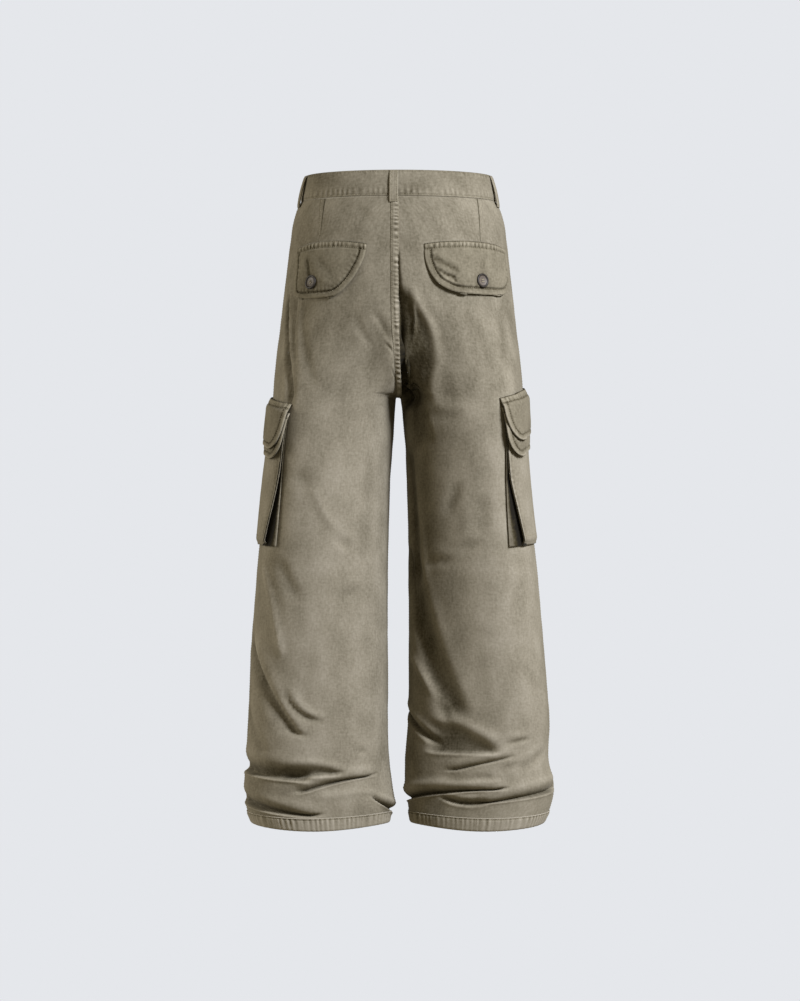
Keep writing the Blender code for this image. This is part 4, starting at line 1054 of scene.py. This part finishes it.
def back_flap(name, half, outline, button_spot, step, curl, small_creases):
    """A flap of the given outline. step is how sharply its field stands up, curl how far its inner corner lifts."""

    def edge(side, at):
        return level(outline, side, at, "down")

    height = outline["down"][-1]
    v = (height * np.sin(np.linspace(0, 1, FLAP_ROWS) * math.pi / 2) ** 1.15)[:, None]
    share = packed(FLAP_COLUMNS, 0.4)
    inner = edge("inner", v)
    across = inner + (edge("outer", v) - inner) * share
    down = v + 0 * share
    z = FLAP_TOP - down * MM - FLAP_ARCH * (2 * (share - ARCH_MIDDLE)) ** 2 * (1 - down / ARCH_FADE)
    points, facing = half.at(across * MM - half.back_length(z), z)
    gap, walked = edge_distance(across, down)
    gathers = puckers(walked * MM, 8.5 * MM, 4.4 + half.leg)
    band_gathers = puckers(across * MM, 7.3 * MM, 1.9 + half.leg) * bell((down - 5.2) / 3.4)
    in_field = 1 - smoothstep((TOP_BAND + 1 - down) / 2)
    groove = bell((gap - TOPSTITCH) / 1.5) * in_field
    band_groove = bell((down - TOP_BAND) / 1.3)
    field = smoothstep((gap - TOPSTITCH - 0.6) / step) * in_field
    creases = strokes(across, down, small_creases)
    button_gap = np.hypot(across - button_spot[0], down - button_spot[1])
    dimple = bell(button_gap / 10)
    out = 0.9 * field + 0.9 * smoothstep((gap - 8) / 26) - 1.9 * groove - 1.5 * band_groove
    out += 0.9 * band_gathers + 0.5 * gathers * bell((gap - TOPSTITCH - 3) / 4.5) * in_field
    out += creases - 2.0 * dimple + 0.6 * drift(points, 0.022, 1.0)
    out -= 1.5 * bell(gap / 1.3) + 1.1 * bell(down / 1.2)
    corner = smoothstep((down - CURL_FROM) / CURL_HEIGHT) * smoothstep(1 - (across - inner) / CURL_WIDTH)
    points = points + facing * (LIFT + FLAP_WALL + (out + curl * corner) * MM)[..., None]
    # Painted shade in the stitch grooves, the creases and round the button, painted shadow along the sewn top edge, and
    # a painted highlight on the rolled rim and just under the top edge; gathers paler on their ridges
    tone = 1.2 * band_gathers - 1.2 * band_groove - 1.3 * groove + 0.45 * bell((gap - 1.5) / 2) - 0.4 * dimple
    tone += 0.4 * gathers * bell((gap - TOPSTITCH - 3) / 4) + 0.5 * creases
    tone += 0.3 * bell((down - 3.0) / 1.5) - 2.2 * bell(down / 1.2) - 1.5 * bell(button_gap / 8.5)
    cloth(name, points, facing, (across * MM, z), tone, twill_flap, FLAP_WALL, name)
    sheet = Flat(points, own_facing(points, facing), across, down)
    foot = height - TOPSTITCH
    around = [(edge("inner", at) + TOPSTITCH, at) for at in np.linspace(TOP_BAND, height - 22, 18)]
    around += [(edge("inner", foot - 6) + TOPSTITCH + 5, foot - 4), (edge("inner", foot) + TOPSTITCH + 9, foot)]
    around += [(edge("outer", foot) - TOPSTITCH - 4, foot)]
    around += [(edge("outer", at) - TOPSTITCH, at) for at in np.linspace(height - 24, TOP_BAND, 18)]
    first, last = outline["inner"][0] + 1.5, outline["outer"][0] - 1.5
    top = [(edge("inner", 2.0) + 1.5, TOP_STITCH), (last, TOP_STITCH)]
    lines = around, top, [(first, TOP_BAND), (last, TOP_BAND)]
    sew("stitches_" + name, [sheet.run(even_line(line)) for line in lines], 0.9)
    return sheet


# %% Back flaps
LEFT_BUTTON, RIGHT_BUTTON = (134.0, 62.2), (141.0, 60.4)
left_flap = back_flap("back_flap_left", halves[LEFT], LEFT_FLAP, LEFT_BUTTON, 0.8, 0.6, LEFT_FLAP_STROKES)
right_flap = back_flap("back_flap_right", halves[RIGHT], RIGHT_FLAP, RIGHT_BUTTON, 3.0, 4.8, RIGHT_FLAP_STROKES)

# %% [markdown]
# ## Horn-look buttons
# The buttons are turned from plastic that imitates horn: dark at the rim, a little paler and cloudy in the dished
# middle, with a satin sheen that picks out the rim. A profile is spun round and four holes are drilled through it.

# %% Button plastic
horn, horn_shader = base("horn_look_plastic", 0.48, 0.25)
horn_place = add(horn, "ShaderNodeTexCoord").outputs["Object"]
horn_cloud = add(horn, "ShaderNodeTexNoise", {"Vector": horn_place}, inputs={"Scale": 190.0, "Detail": 4.0})
horn_dish = add(horn, "ShaderNodeAttribute", attribute_name="tone").outputs["Fac"]
horn_shade = math_node(horn, "MULTIPLY", horn_cloud.outputs["Fac"], horn_dish)
ramp(horn, horn_shader, horn_shade, (0, "#0e0b08"), (0.75, "#5a5249"))

# %% Turning and drilling a button
BUTTON_RADIUS, WAIST_BUTTON_RADIUS, WAIST_BUTTON_TURN = 11 * MM, 9.5 * MM, -3.5
HOLE_RADIUS, HOLE_PLACE, DISH_RADIUS, THREAD_HEIGHT = 0.10, 0.21, 0.72, 0.19
BUTTON_PROFILE = table(
    "radius height",
    (0.00, 0.00),
    (0.90, 0.00),
    (0.97, 0.03),
    (1.00, 0.09),
    (1.00, 0.19),
    (0.97, 0.26),
    (0.91, 0.295),
    (0.84, 0.30),
    (0.78, 0.27),
    (0.72, 0.205),
    (0.64, 0.175),
    (0.00, 0.165),
)


def button(name, point, facing, radius, turn, node):
    """A four-hole button on the cloth at the point, with two bars of thread through its holes."""
    blank, drill = bmesh.new(), bmesh.new()
    spots = zip(BUTTON_PROFILE["radius"], BUTTON_PROFILE["height"])
    profile = [blank.verts.new((r * radius, 0, h * radius)) for r, h in spots]
    edges = [blank.edges.new(pair) for pair in zip(profile, profile[1:])]
    bmesh.ops.spin(
        blank, geom=profile + edges, angle=2 * math.pi, steps=44, axis=(0, 0, 1), cent=(0, 0, 0), use_merge=True
    )
    bmesh.ops.remove_doubles(blank, verts=blank.verts, dist=0.02 * MM)
    bmesh.ops.recalc_face_normals(blank, faces=blank.faces)
    holes = [Vector((math.cos(a), math.sin(a), 0)) * HOLE_PLACE * radius for a in np.radians((45, 135, 225, 315))]
    width = HOLE_RADIUS * radius
    for hole in holes:
        place = Matrix.Translation(hole)
        bmesh.ops.create_cone(
            drill, cap_ends=True, segments=14, radius1=width, radius2=width, depth=2 * radius, matrix=place
        )
    turned = []
    for label, mesh in ((name, blank), (name + "_drill", drill)):
        data = bpy.data.meshes.new(label)
        mesh.to_mesh(data)
        mesh.free()
        turned.append(shown(label, data))
    piece, cutter = turned
    piece.modifiers.new("holes", "BOOLEAN").object = cutter
    data = bpy.data.meshes.new_from_object(piece.evaluated_get(bpy.context.evaluated_depsgraph_get()))
    piece.modifiers.clear()
    bpy.data.objects.remove(cutter)
    piece.data = data
    way = Vector(facing).to_track_quat("Z", "Y").to_matrix().to_4x4() @ Matrix.Rotation(turn, 4, "Z")
    pose = Matrix.Translation(Vector(point)) @ way
    radial = np.array([vertex.co.xy.length / radius for vertex in data.vertices])
    shade = data.attributes.new("tone", "FLOAT", "POINT")
    shade.data.foreach_set("value", (0.25 + 1.1 * smoothstep((DISH_RADIUS - radial) / 0.08)).astype(np.float32))
    data.transform(pose)
    data.materials.clear()
    data.materials.append(horn)
    data.shade_smooth()
    data.set_sharp_from_angle(angle=math.radians(50))
    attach(piece, "root")
    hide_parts(node)
    bars = []
    for a, b in ((0, 1), (3, 2)):
        ends = [pose @ (holes[k] + Vector((0, 0, THREAD_HEIGHT * radius))) for k in (a, b)]
        bars.append([(ends[0].lerp(ends[1], t), Vector(facing)) for t in (0.1, 0.5, 0.9)])
    sew("stitches_" + name, bars, 1.7 * radius / BUTTON_RADIUS)
    print(name, len(data.polygons), "faces")


# %% Back buttons
for name, sheet, spot, turn in (
    ("back_button_left", left_flap, LEFT_BUTTON, 0.5),
    ("back_button_right", right_flap, RIGHT_BUTTON, 0.05),
):
    point, facing = sheet.spot(*spot)
    button(name, point + facing * 0.5 * MM, facing, BUTTON_RADIUS, turn, name)
point, facing = band_surface(np.array(WAIST_BUTTON_TURN), np.array(0.0))
point = point + facing * (BAND_PROUD + OVERLAP_LIFT + 1.0 * MM)
button("waist_button", point, facing, WAIST_BUTTON_RADIUS, 0.3, "waist_button")

# %% [markdown]
# ## Cargo pockets
# A bellows pocket is a stiff flat face joined to the leg by a folded gusset, so it can swell when something is in it.
# Empty, its face stands off more at its edges than over the side seam, and the gusset folds in under the face, which
# leaves a slit between the face's edge and the leg, darkened with painted shadow. The gusset is sewn to the leg with a
# narrow stitched edge.

# %% Sizes of the cargo pockets
POCKETS = table(
    "leg back front spread slant taper line upper lower",
    (LEFT, 106, 100, 24, 13, 12, -0.3372, 73, 74),
    (RIGHT, 113, 88, 25, 18, 4, -0.3278, 70, 80),
)
POCKET_BOTTOM = -0.5560
POCKET_WALL, POCKET_LIFT, PLY_GAP = 1.2 * MM, 2.1 * MM, 1.6 * MM
MOUTH_DROP = 28 * MM
SLANT_END = 1.6
FOOT_GUSSET = 9 * MM
# The slit starts SLIT_DROP under the flap line, and opens and tucks in over these heights
SLIT_DROP, SLIT_OPEN, SLIT_TUCK = 0.09, 0.17, 0.10
POCKET_SWELL = table(
    "z middle edge",
    (-0.34, 0.2, 0.6),
    (-0.43, 1.6, 4.0),
    (-0.50, 2.6, 7.5),
    (-0.56, 3.2, 11.0),
)


def slant(sizes, around):
    """How much higher than its back end the flap's edge stands, at distances from the side seam."""
    share = np.clip((around / MM + sizes["back"]) / sizes["back"], 0, SLANT_END)
    return sizes["slant"] * MM * share * (2 * SLANT_END - share) / (2 * SLANT_END - 1)


def swell(sizes, around, z):
    """How far the pocket's face stands off the leg: least over the side seam, most at its edges."""
    share = np.clip(2 * (around / MM + sizes["back"]) / (sizes["back"] + sizes["front"]) - 1, -1, 1)
    middle, edge = level(POCKET_SWELL, "middle", z), level(POCKET_SWELL, "edge", z)
    return (middle + (edge - middle) * share**2) * MM


# %% Pocket face and gusset
SEAM_SPAN, SPAN_COLUMNS = 14 * MM, 4


def over_seam(half, around, z):
    """Points and outward directions for stiff plies laid over the side seam, whose small groove they bridge."""
    found = []
    near = bell(around / SEAM_SPAN)[..., None]
    for grid in half.at(around, z):
        padded = np.pad(grid, ((0, 0), (SPAN_COLUMNS, SPAN_COLUMNS), (0, 0)), mode="edge")
        even = sum(padded[:, k : k + grid.shape[1]] for k in range(2 * SPAN_COLUMNS + 1)) / (2 * SPAN_COLUMNS + 1)
        found.append(grid + (even - grid) * near)
    return found[0], unit(found[1])


FACE_COLUMNS, GUSSET_COLUMNS, FACE_ROWS = 66, 10, 84
GUSSET_EDGE, GUSSET_UNDER, GUSSET_TURN, GUSSET_RUN = 5 * MM, 12 * MM, 0.55, 0.45
FACE_STITCHES = 5.0


def cargo_pocket(name, half, sizes):
    """The pocket's face with its gusset on both sides, as one sheet from gusset edge to gusset edge."""
    front, top_line = sizes["front"] * MM, sizes["line"]
    mouth = top_line - MOUTH_DROP
    face, fold = packed(FACE_COLUMNS, 0.5), np.linspace(0, 1, GUSSET_COLUMNS)
    turned = (fold - GUSSET_TURN) / GUSSET_RUN
    arounds, heights, lifts, tones = [], [], [], []
    for z in np.linspace(mouth, POCKET_BOTTOM, FACE_ROWS):
        drop = (mouth - z) / (mouth - POCKET_BOTTOM)
        back = (sizes["taper"] * drop - sizes["back"]) * MM
        spread = 2 * MM + sizes["spread"] * MM * smoothstep((top_line - SLIT_DROP - z) / SLIT_OPEN)
        under = GUSSET_UNDER * smoothstep((top_line - SLIT_DROP - z) / SLIT_TUCK)
        foot = smoothstep((z - POCKET_BOTTOM) / FOOT_GUSSET)
        start, end = back + spread, front - spread
        on_face = start + (end - start) * face
        leg_side = np.interp(fold, (0, GUSSET_RUN, 1), (0, 1, 1)) * (spread + under) - under * smoothstep(turned)
        arounds.append(np.concatenate([back + leg_side, on_face, front - leg_side[::-1]]))
        heights.append(z + slant(sizes, arounds[-1]) * (1 - 0.7 * drop))
        face_swell = swell(sizes, on_face, z)
        edge_gap = np.minimum(face, 1 - face) * (end - start) / MM
        seam = bell((edge_gap - FACE_STITCHES) / 1.4)
        ribs = puckers(np.full(FACE_COLUMNS, z), 9 * MM, 6.0) * bell((edge_gap - 3) / 3)
        sag = 0.6 * wander((face * 0.12 + z + (face * 0.12 - z)) * 3, 0.05, 4.0 + half.leg)
        top = (face_swell + (0.35 * ribs - 0.6 * seam - 0.7 * bell(edge_gap / 1.2) + sag) * MM) * foot
        rim = 0.5 * MM * bell((leg_side - 1.5 * MM) / (2 * MM))
        side = face_swell[0] * np.clip(turned, 0, 1) ** 2 * foot + rim
        lifts.append(POCKET_LIFT + POCKET_WALL + np.concatenate([side, top, side[::-1]]))
        # Painted shade on the gusset: darker towards the slit under the face's edge, down to painted shadow in the
        # slit, and darker in its upper part under the flaps
        dark = -0.3 * smoothstep((leg_side - 0.6 * GUSSET_EDGE) / (2.5 * MM))
        dark = dark - 3.0 * smoothstep((leg_side / spread - 0.3) / 0.15)
        dark = dark - 1.4 * smoothstep((z - top_line + 0.15) / 0.05)
        # On the face, a painted highlight at its edges and painted shade in the stitch groove
        tones.append(np.concatenate([dark, 0.5 * bell(edge_gap / 2.2) - 0.5 * seam + 0.3 * ribs, dark[::-1]]))
    around, z = np.array(arounds), np.array(heights)
    points, facing = over_seam(half, around, z)
    points = points + facing * np.array(lifts)[..., None]
    cloth(name, points, facing, (around, z), np.array(tones), twill_body, POCKET_WALL, name)
    first, last, low = GUSSET_COLUMNS + 4, GUSSET_COLUMNS + FACE_COLUMNS - 5, FACE_ROWS - 7
    own = own_facing(points, facing)
    runs = [picked(points, own, range(2, FACE_ROWS - 3, 2), j) for j in (first, last)]
    sew("stitches_" + name, [*runs, picked(points, own, low, range(first, last + 1))], 0.9)


# %% Cargo flaps
FLAP_CORNER, FLAP_INSET, FLAP_OVERHANG = 46 * MM, 30 * MM, 2 * MM
CARGO_TOPSTITCH, CARGO_BAND, EDGE_STAND = 7.5, 8.8, 5.0 * MM
LOWER_FALL, LOWER_ONSET, UPPER_ONSET = 0.014, 0.012, 0.016


def cargo_flap(name, half, sizes, fall, height, lift, onset, seed):
    """A flap with two round lower corners, sewn on at fall below the flap line, with a doubled topstitch."""
    straight = height - FLAP_CORNER
    corner = straight + FLAP_CORNER * np.sin(np.linspace(0, 0.985, 34) * math.pi / 2)
    downs = np.concatenate([np.linspace(0, straight, 20)[:-1], corner])[:, None]
    inset = FLAP_INSET * (1 - np.sqrt(1 - np.clip((downs - straight) / FLAP_CORNER, 0, 1) ** 2))
    share = packed(90, 0.35)
    back, front = -sizes["back"] * MM - FLAP_OVERHANG + inset, sizes["front"] * MM + FLAP_OVERHANG - inset
    around = back + (front - back) * share
    level_z = sizes["line"] - fall - downs + 0 * around
    z = level_z + slant(sizes, around)
    across, down = around / MM, downs / MM + 0 * share
    gap, walked = edge_distance(across, down)
    ribs = puckers(walked * MM, 8.0 * MM, seed) * bell((gap - CARGO_TOPSTITCH - 1.5) / 4)
    top_ribs = puckers(across * MM, 7.5 * MM, seed + 3) * bell((down - 4.5) / 3.5)
    groove = bell((gap - CARGO_TOPSTITCH) / 1.2) * smoothstep((down - 7) / 4)
    top_groove = bell((down - CARGO_BAND) / 1.1)
    out = 0.45 * ribs + 0.4 * top_ribs - 0.9 * groove - 0.9 * top_groove + 0.9 * smoothstep((gap - 7) / 14)
    out -= 1.0 * bell(gap / 1.1) + 0.9 * bell(down / 1.0)
    stand = lift - POCKET_LIFT + swell(sizes, around, level_z)
    from_end = np.minimum(around - back, front - around) / MM
    edge_lift = EDGE_STAND * smoothstep((down - 6) / 34) * smoothstep(1 - from_end / 30)
    lifts = POCKET_LIFT + POCKET_WALL + stand * smoothstep(downs / onset) + out * MM + edge_lift
    points, facing = over_seam(half, around, z)
    points = points + facing * lifts[..., None]
    # Painted shade in the stitch grooves and along the sewn top edge, a painted highlight on the rolled rim and just
    # under the top edge, ribs paler on their ridges, and the whole flap a little darker
    tone = 0.5 * ribs + 0.7 * top_ribs - 1.7 * groove - 1.6 * top_groove + 1.0 * bell((gap - 1) / 1.8) - 0.3
    tone += 0.5 * bell((down - 2.5) / 1.5) - 2.2 * bell(down / 1.1)
    cloth(name, points, facing, (around, z), tone, twill_flap, POCKET_WALL, name)
    sheet = Flat(points, own_facing(points, facing), across, down)
    bend, rise, low = FLAP_INSET / MM - CARGO_TOPSTITCH, FLAP_CORNER / MM - CARGO_TOPSTITCH, straight / MM
    left = -sizes["back"] - FLAP_OVERHANG / MM + CARGO_TOPSTITCH
    right = sizes["front"] + FLAP_OVERHANG / MM - CARGO_TOPSTITCH
    turn = [(bend * (1 - math.cos(a)), low + rise * math.sin(a)) for a in np.linspace(0, math.pi / 2, 12)]
    line = [(left, CARGO_BAND), *[(left + u, v) for u, v in turn]]
    line += [*[(right - u, v) for u, v in turn[::-1]], (right, CARGO_BAND)]
    seams = [line, *[[(left - 5, v), (right + 5, v)] for v in (TOP_STITCH, CARGO_BAND)]]
    sew("stitches_" + name, [sheet.run(even_line(seam)) for seam in seams], 0.9)


UNDER = POCKET_LIFT + POCKET_WALL + PLY_GAP
OVER = UNDER + POCKET_WALL + PLY_GAP
for row in np.array(list(POCKETS.values())).T:
    sizes = dict(zip(POCKETS, row))
    half, word = halves[sizes["leg"]], WORD[sizes["leg"]]
    lower, upper = sizes["lower"] * MM, sizes["upper"] * MM
    cargo_pocket("cargo_pocket_" + word, half, sizes)
    cargo_flap("cargo_flap_lower_" + word, half, sizes, LOWER_FALL, lower, UNDER, LOWER_ONSET, 1.3)
    cargo_flap("cargo_flap_upper_" + word, half, sizes, 0.000, upper, OVER, UPPER_ONSET, 7.1)

# %% [markdown]
# ## Fly
# The fly is on the hidden front, so it is plain: the usual strip on the left front with a curved foot and one row of
# topstitching along its free edge.

# %% Fly strip
FLY_WIDTH, FLY_TOP, FLY_FOOT = 37 * MM, -0.0215, -0.195
FLY_STRAIGHT, FLY_CURVE, FLY_WALL, FLY_STITCHES = 0.68, 0.32, 1.6 * MM, 5


def fly_placket(half):
    curve = FLY_STRAIGHT + FLY_CURVE * np.sin(np.linspace(0, 0.985, 40) * math.pi / 2)
    t = np.concatenate([np.linspace(0, FLY_STRAIGHT, 60)[:-1], curve])[:, None]
    share = np.linspace(0, 1, 26)
    z = FLY_TOP + (FLY_FOOT - FLY_TOP) * t
    width = FLY_WIDTH * np.sqrt(1 - (np.clip(t - FLY_STRAIGHT, 0, 1) / FLY_CURVE) ** 2)
    around = half.front_length(z) - 1.0 * MM - width * (1 - share)
    z = z + 0 * share
    points, facing = half.at(around, z)
    gap = np.minimum(width / MM * share, (z - FLY_FOOT) / MM * 1.2)
    ribs = puckers(z, 9 * MM, 2.0) * bell((gap - FLY_STITCHES) / 5)
    lift = LIFT + FLY_WALL + (0.3 * ribs - 0.7 * bell((gap - FLY_STITCHES) / 1.2) - 0.8 * bell(gap / 1.0)) * MM
    points = points + facing * lift[..., None]
    # Painted shade in the stitch groove, painted highlight along the folded edge
    tone = 0.4 * ribs - 0.5 * bell((gap - FLY_STITCHES) / 1.4) + 0.4 * bell(gap / 1.8)
    cloth("fly_placket", points, facing, (around, z), tone, twill_body, FLY_WALL, "fly_placket")
    rows = range(1, 92, 2)
    columns = [int(np.argmin(abs(gap[i] - FLY_STITCHES))) for i in rows]
    sew("stitches_fly_placket", [picked(points, own_facing(points, facing), rows, columns)], 0.9)


fly_placket(halves[LEFT])

# %% [markdown]
# ## Stage, light and camera
# A pale studio: even light from all round, and one large soft lamp to the right of the seat. The camera stands 5 m
# behind the pants, level with their middle, with a long lens.

# %% Studio
BACKDROP, ROOM_COLOUR = "#e5e7eb", "#fff0cf"
ROOM_LIGHT = 0.30
CAMERA_DISTANCE, CAMERA_ACROSS, CAMERA_HEIGHT = 5.0, 0.0023, -0.4847
FRAME_HEIGHT = 1.5611
SENSOR = 36.0
FLOOR, FLOOR_RADIUS = -1.42, 9.0

world = bpy.data.worlds.new("pale_studio")
bpy.context.scene.world = world
world.use_nodes = True
seen = add(world, "ShaderNodeLightPath").outputs["Is Camera Ray"]
hues = {"A": [ROOM_LIGHT * share for share in linear(ROOM_COLOUR)], "B": linear(BACKDROP)}
hue = add(world, "ShaderNodeMix", {"Factor": seen}, data_type="RGBA", inputs=hues).outputs["Result"]
world.node_tree.links.new(hue, world.node_tree.nodes["Background"].inputs["Color"])
bpy.context.scene.view_settings.view_transform = "Standard"

lens = bpy.data.cameras.new("camera")
lens.lens = SENSOR * CAMERA_DISTANCE / FRAME_HEIGHT
lens.sensor_width = SENSOR
camera = shown("camera", lens)
camera.location = (CAMERA_ACROSS, -CAMERA_DISTANCE, CAMERA_HEIGHT)
camera.rotation_euler = (math.pi / 2, 0, 0)
bpy.context.scene.camera = camera


def lamp(name, turn, climb, distance, size, watts, colour):
    """A square soft lamp aimed at the middle of the pants. Turn 0 is the camera's side, 90 is +X."""
    light = bpy.data.lights.new(name, "AREA")
    light.energy, light.size, light.color = watts, size, linear(colour)[:3]
    thing = shown(name, light)
    turn, climb = math.radians(turn), math.radians(climb)
    away = Vector((math.sin(turn) * math.cos(climb), -math.cos(turn) * math.cos(climb), math.sin(climb)))
    thing.location = Vector((0, 0, CAMERA_HEIGHT)) + away * distance
    thing.rotation_euler = away.to_track_quat("Z", "Y").to_euler()


lamp("key", 47, 30, 3.6, 1.0, 262, "#f2f4ff")
lamp("fill", -92, 12, 3.6, 1.6, 84, "#fbf6f0")

floor_mesh = bmesh.new()
bmesh.ops.create_circle(floor_mesh, cap_ends=True, segments=96, radius=FLOOR_RADIUS)
bmesh.ops.translate(floor_mesh, verts=floor_mesh.verts, vec=(0, 0, FLOOR))
floor_data = bpy.data.meshes.new("floor")
floor_mesh.to_mesh(floor_data)
floor_mesh.free()
floor = shown("floor", floor_data)
paper, sweep = base("pale_paper", 1.0, 0.0)
sweep.inputs["Base Color"].default_value = linear("#000000")
sweep.inputs["Emission Color"].default_value = linear(BACKDROP)
sweep.inputs["Emission Strength"].default_value = 1.0
floor_data.materials.append(paper)
floor.visible_diffuse = False
floor.visible_glossy = False
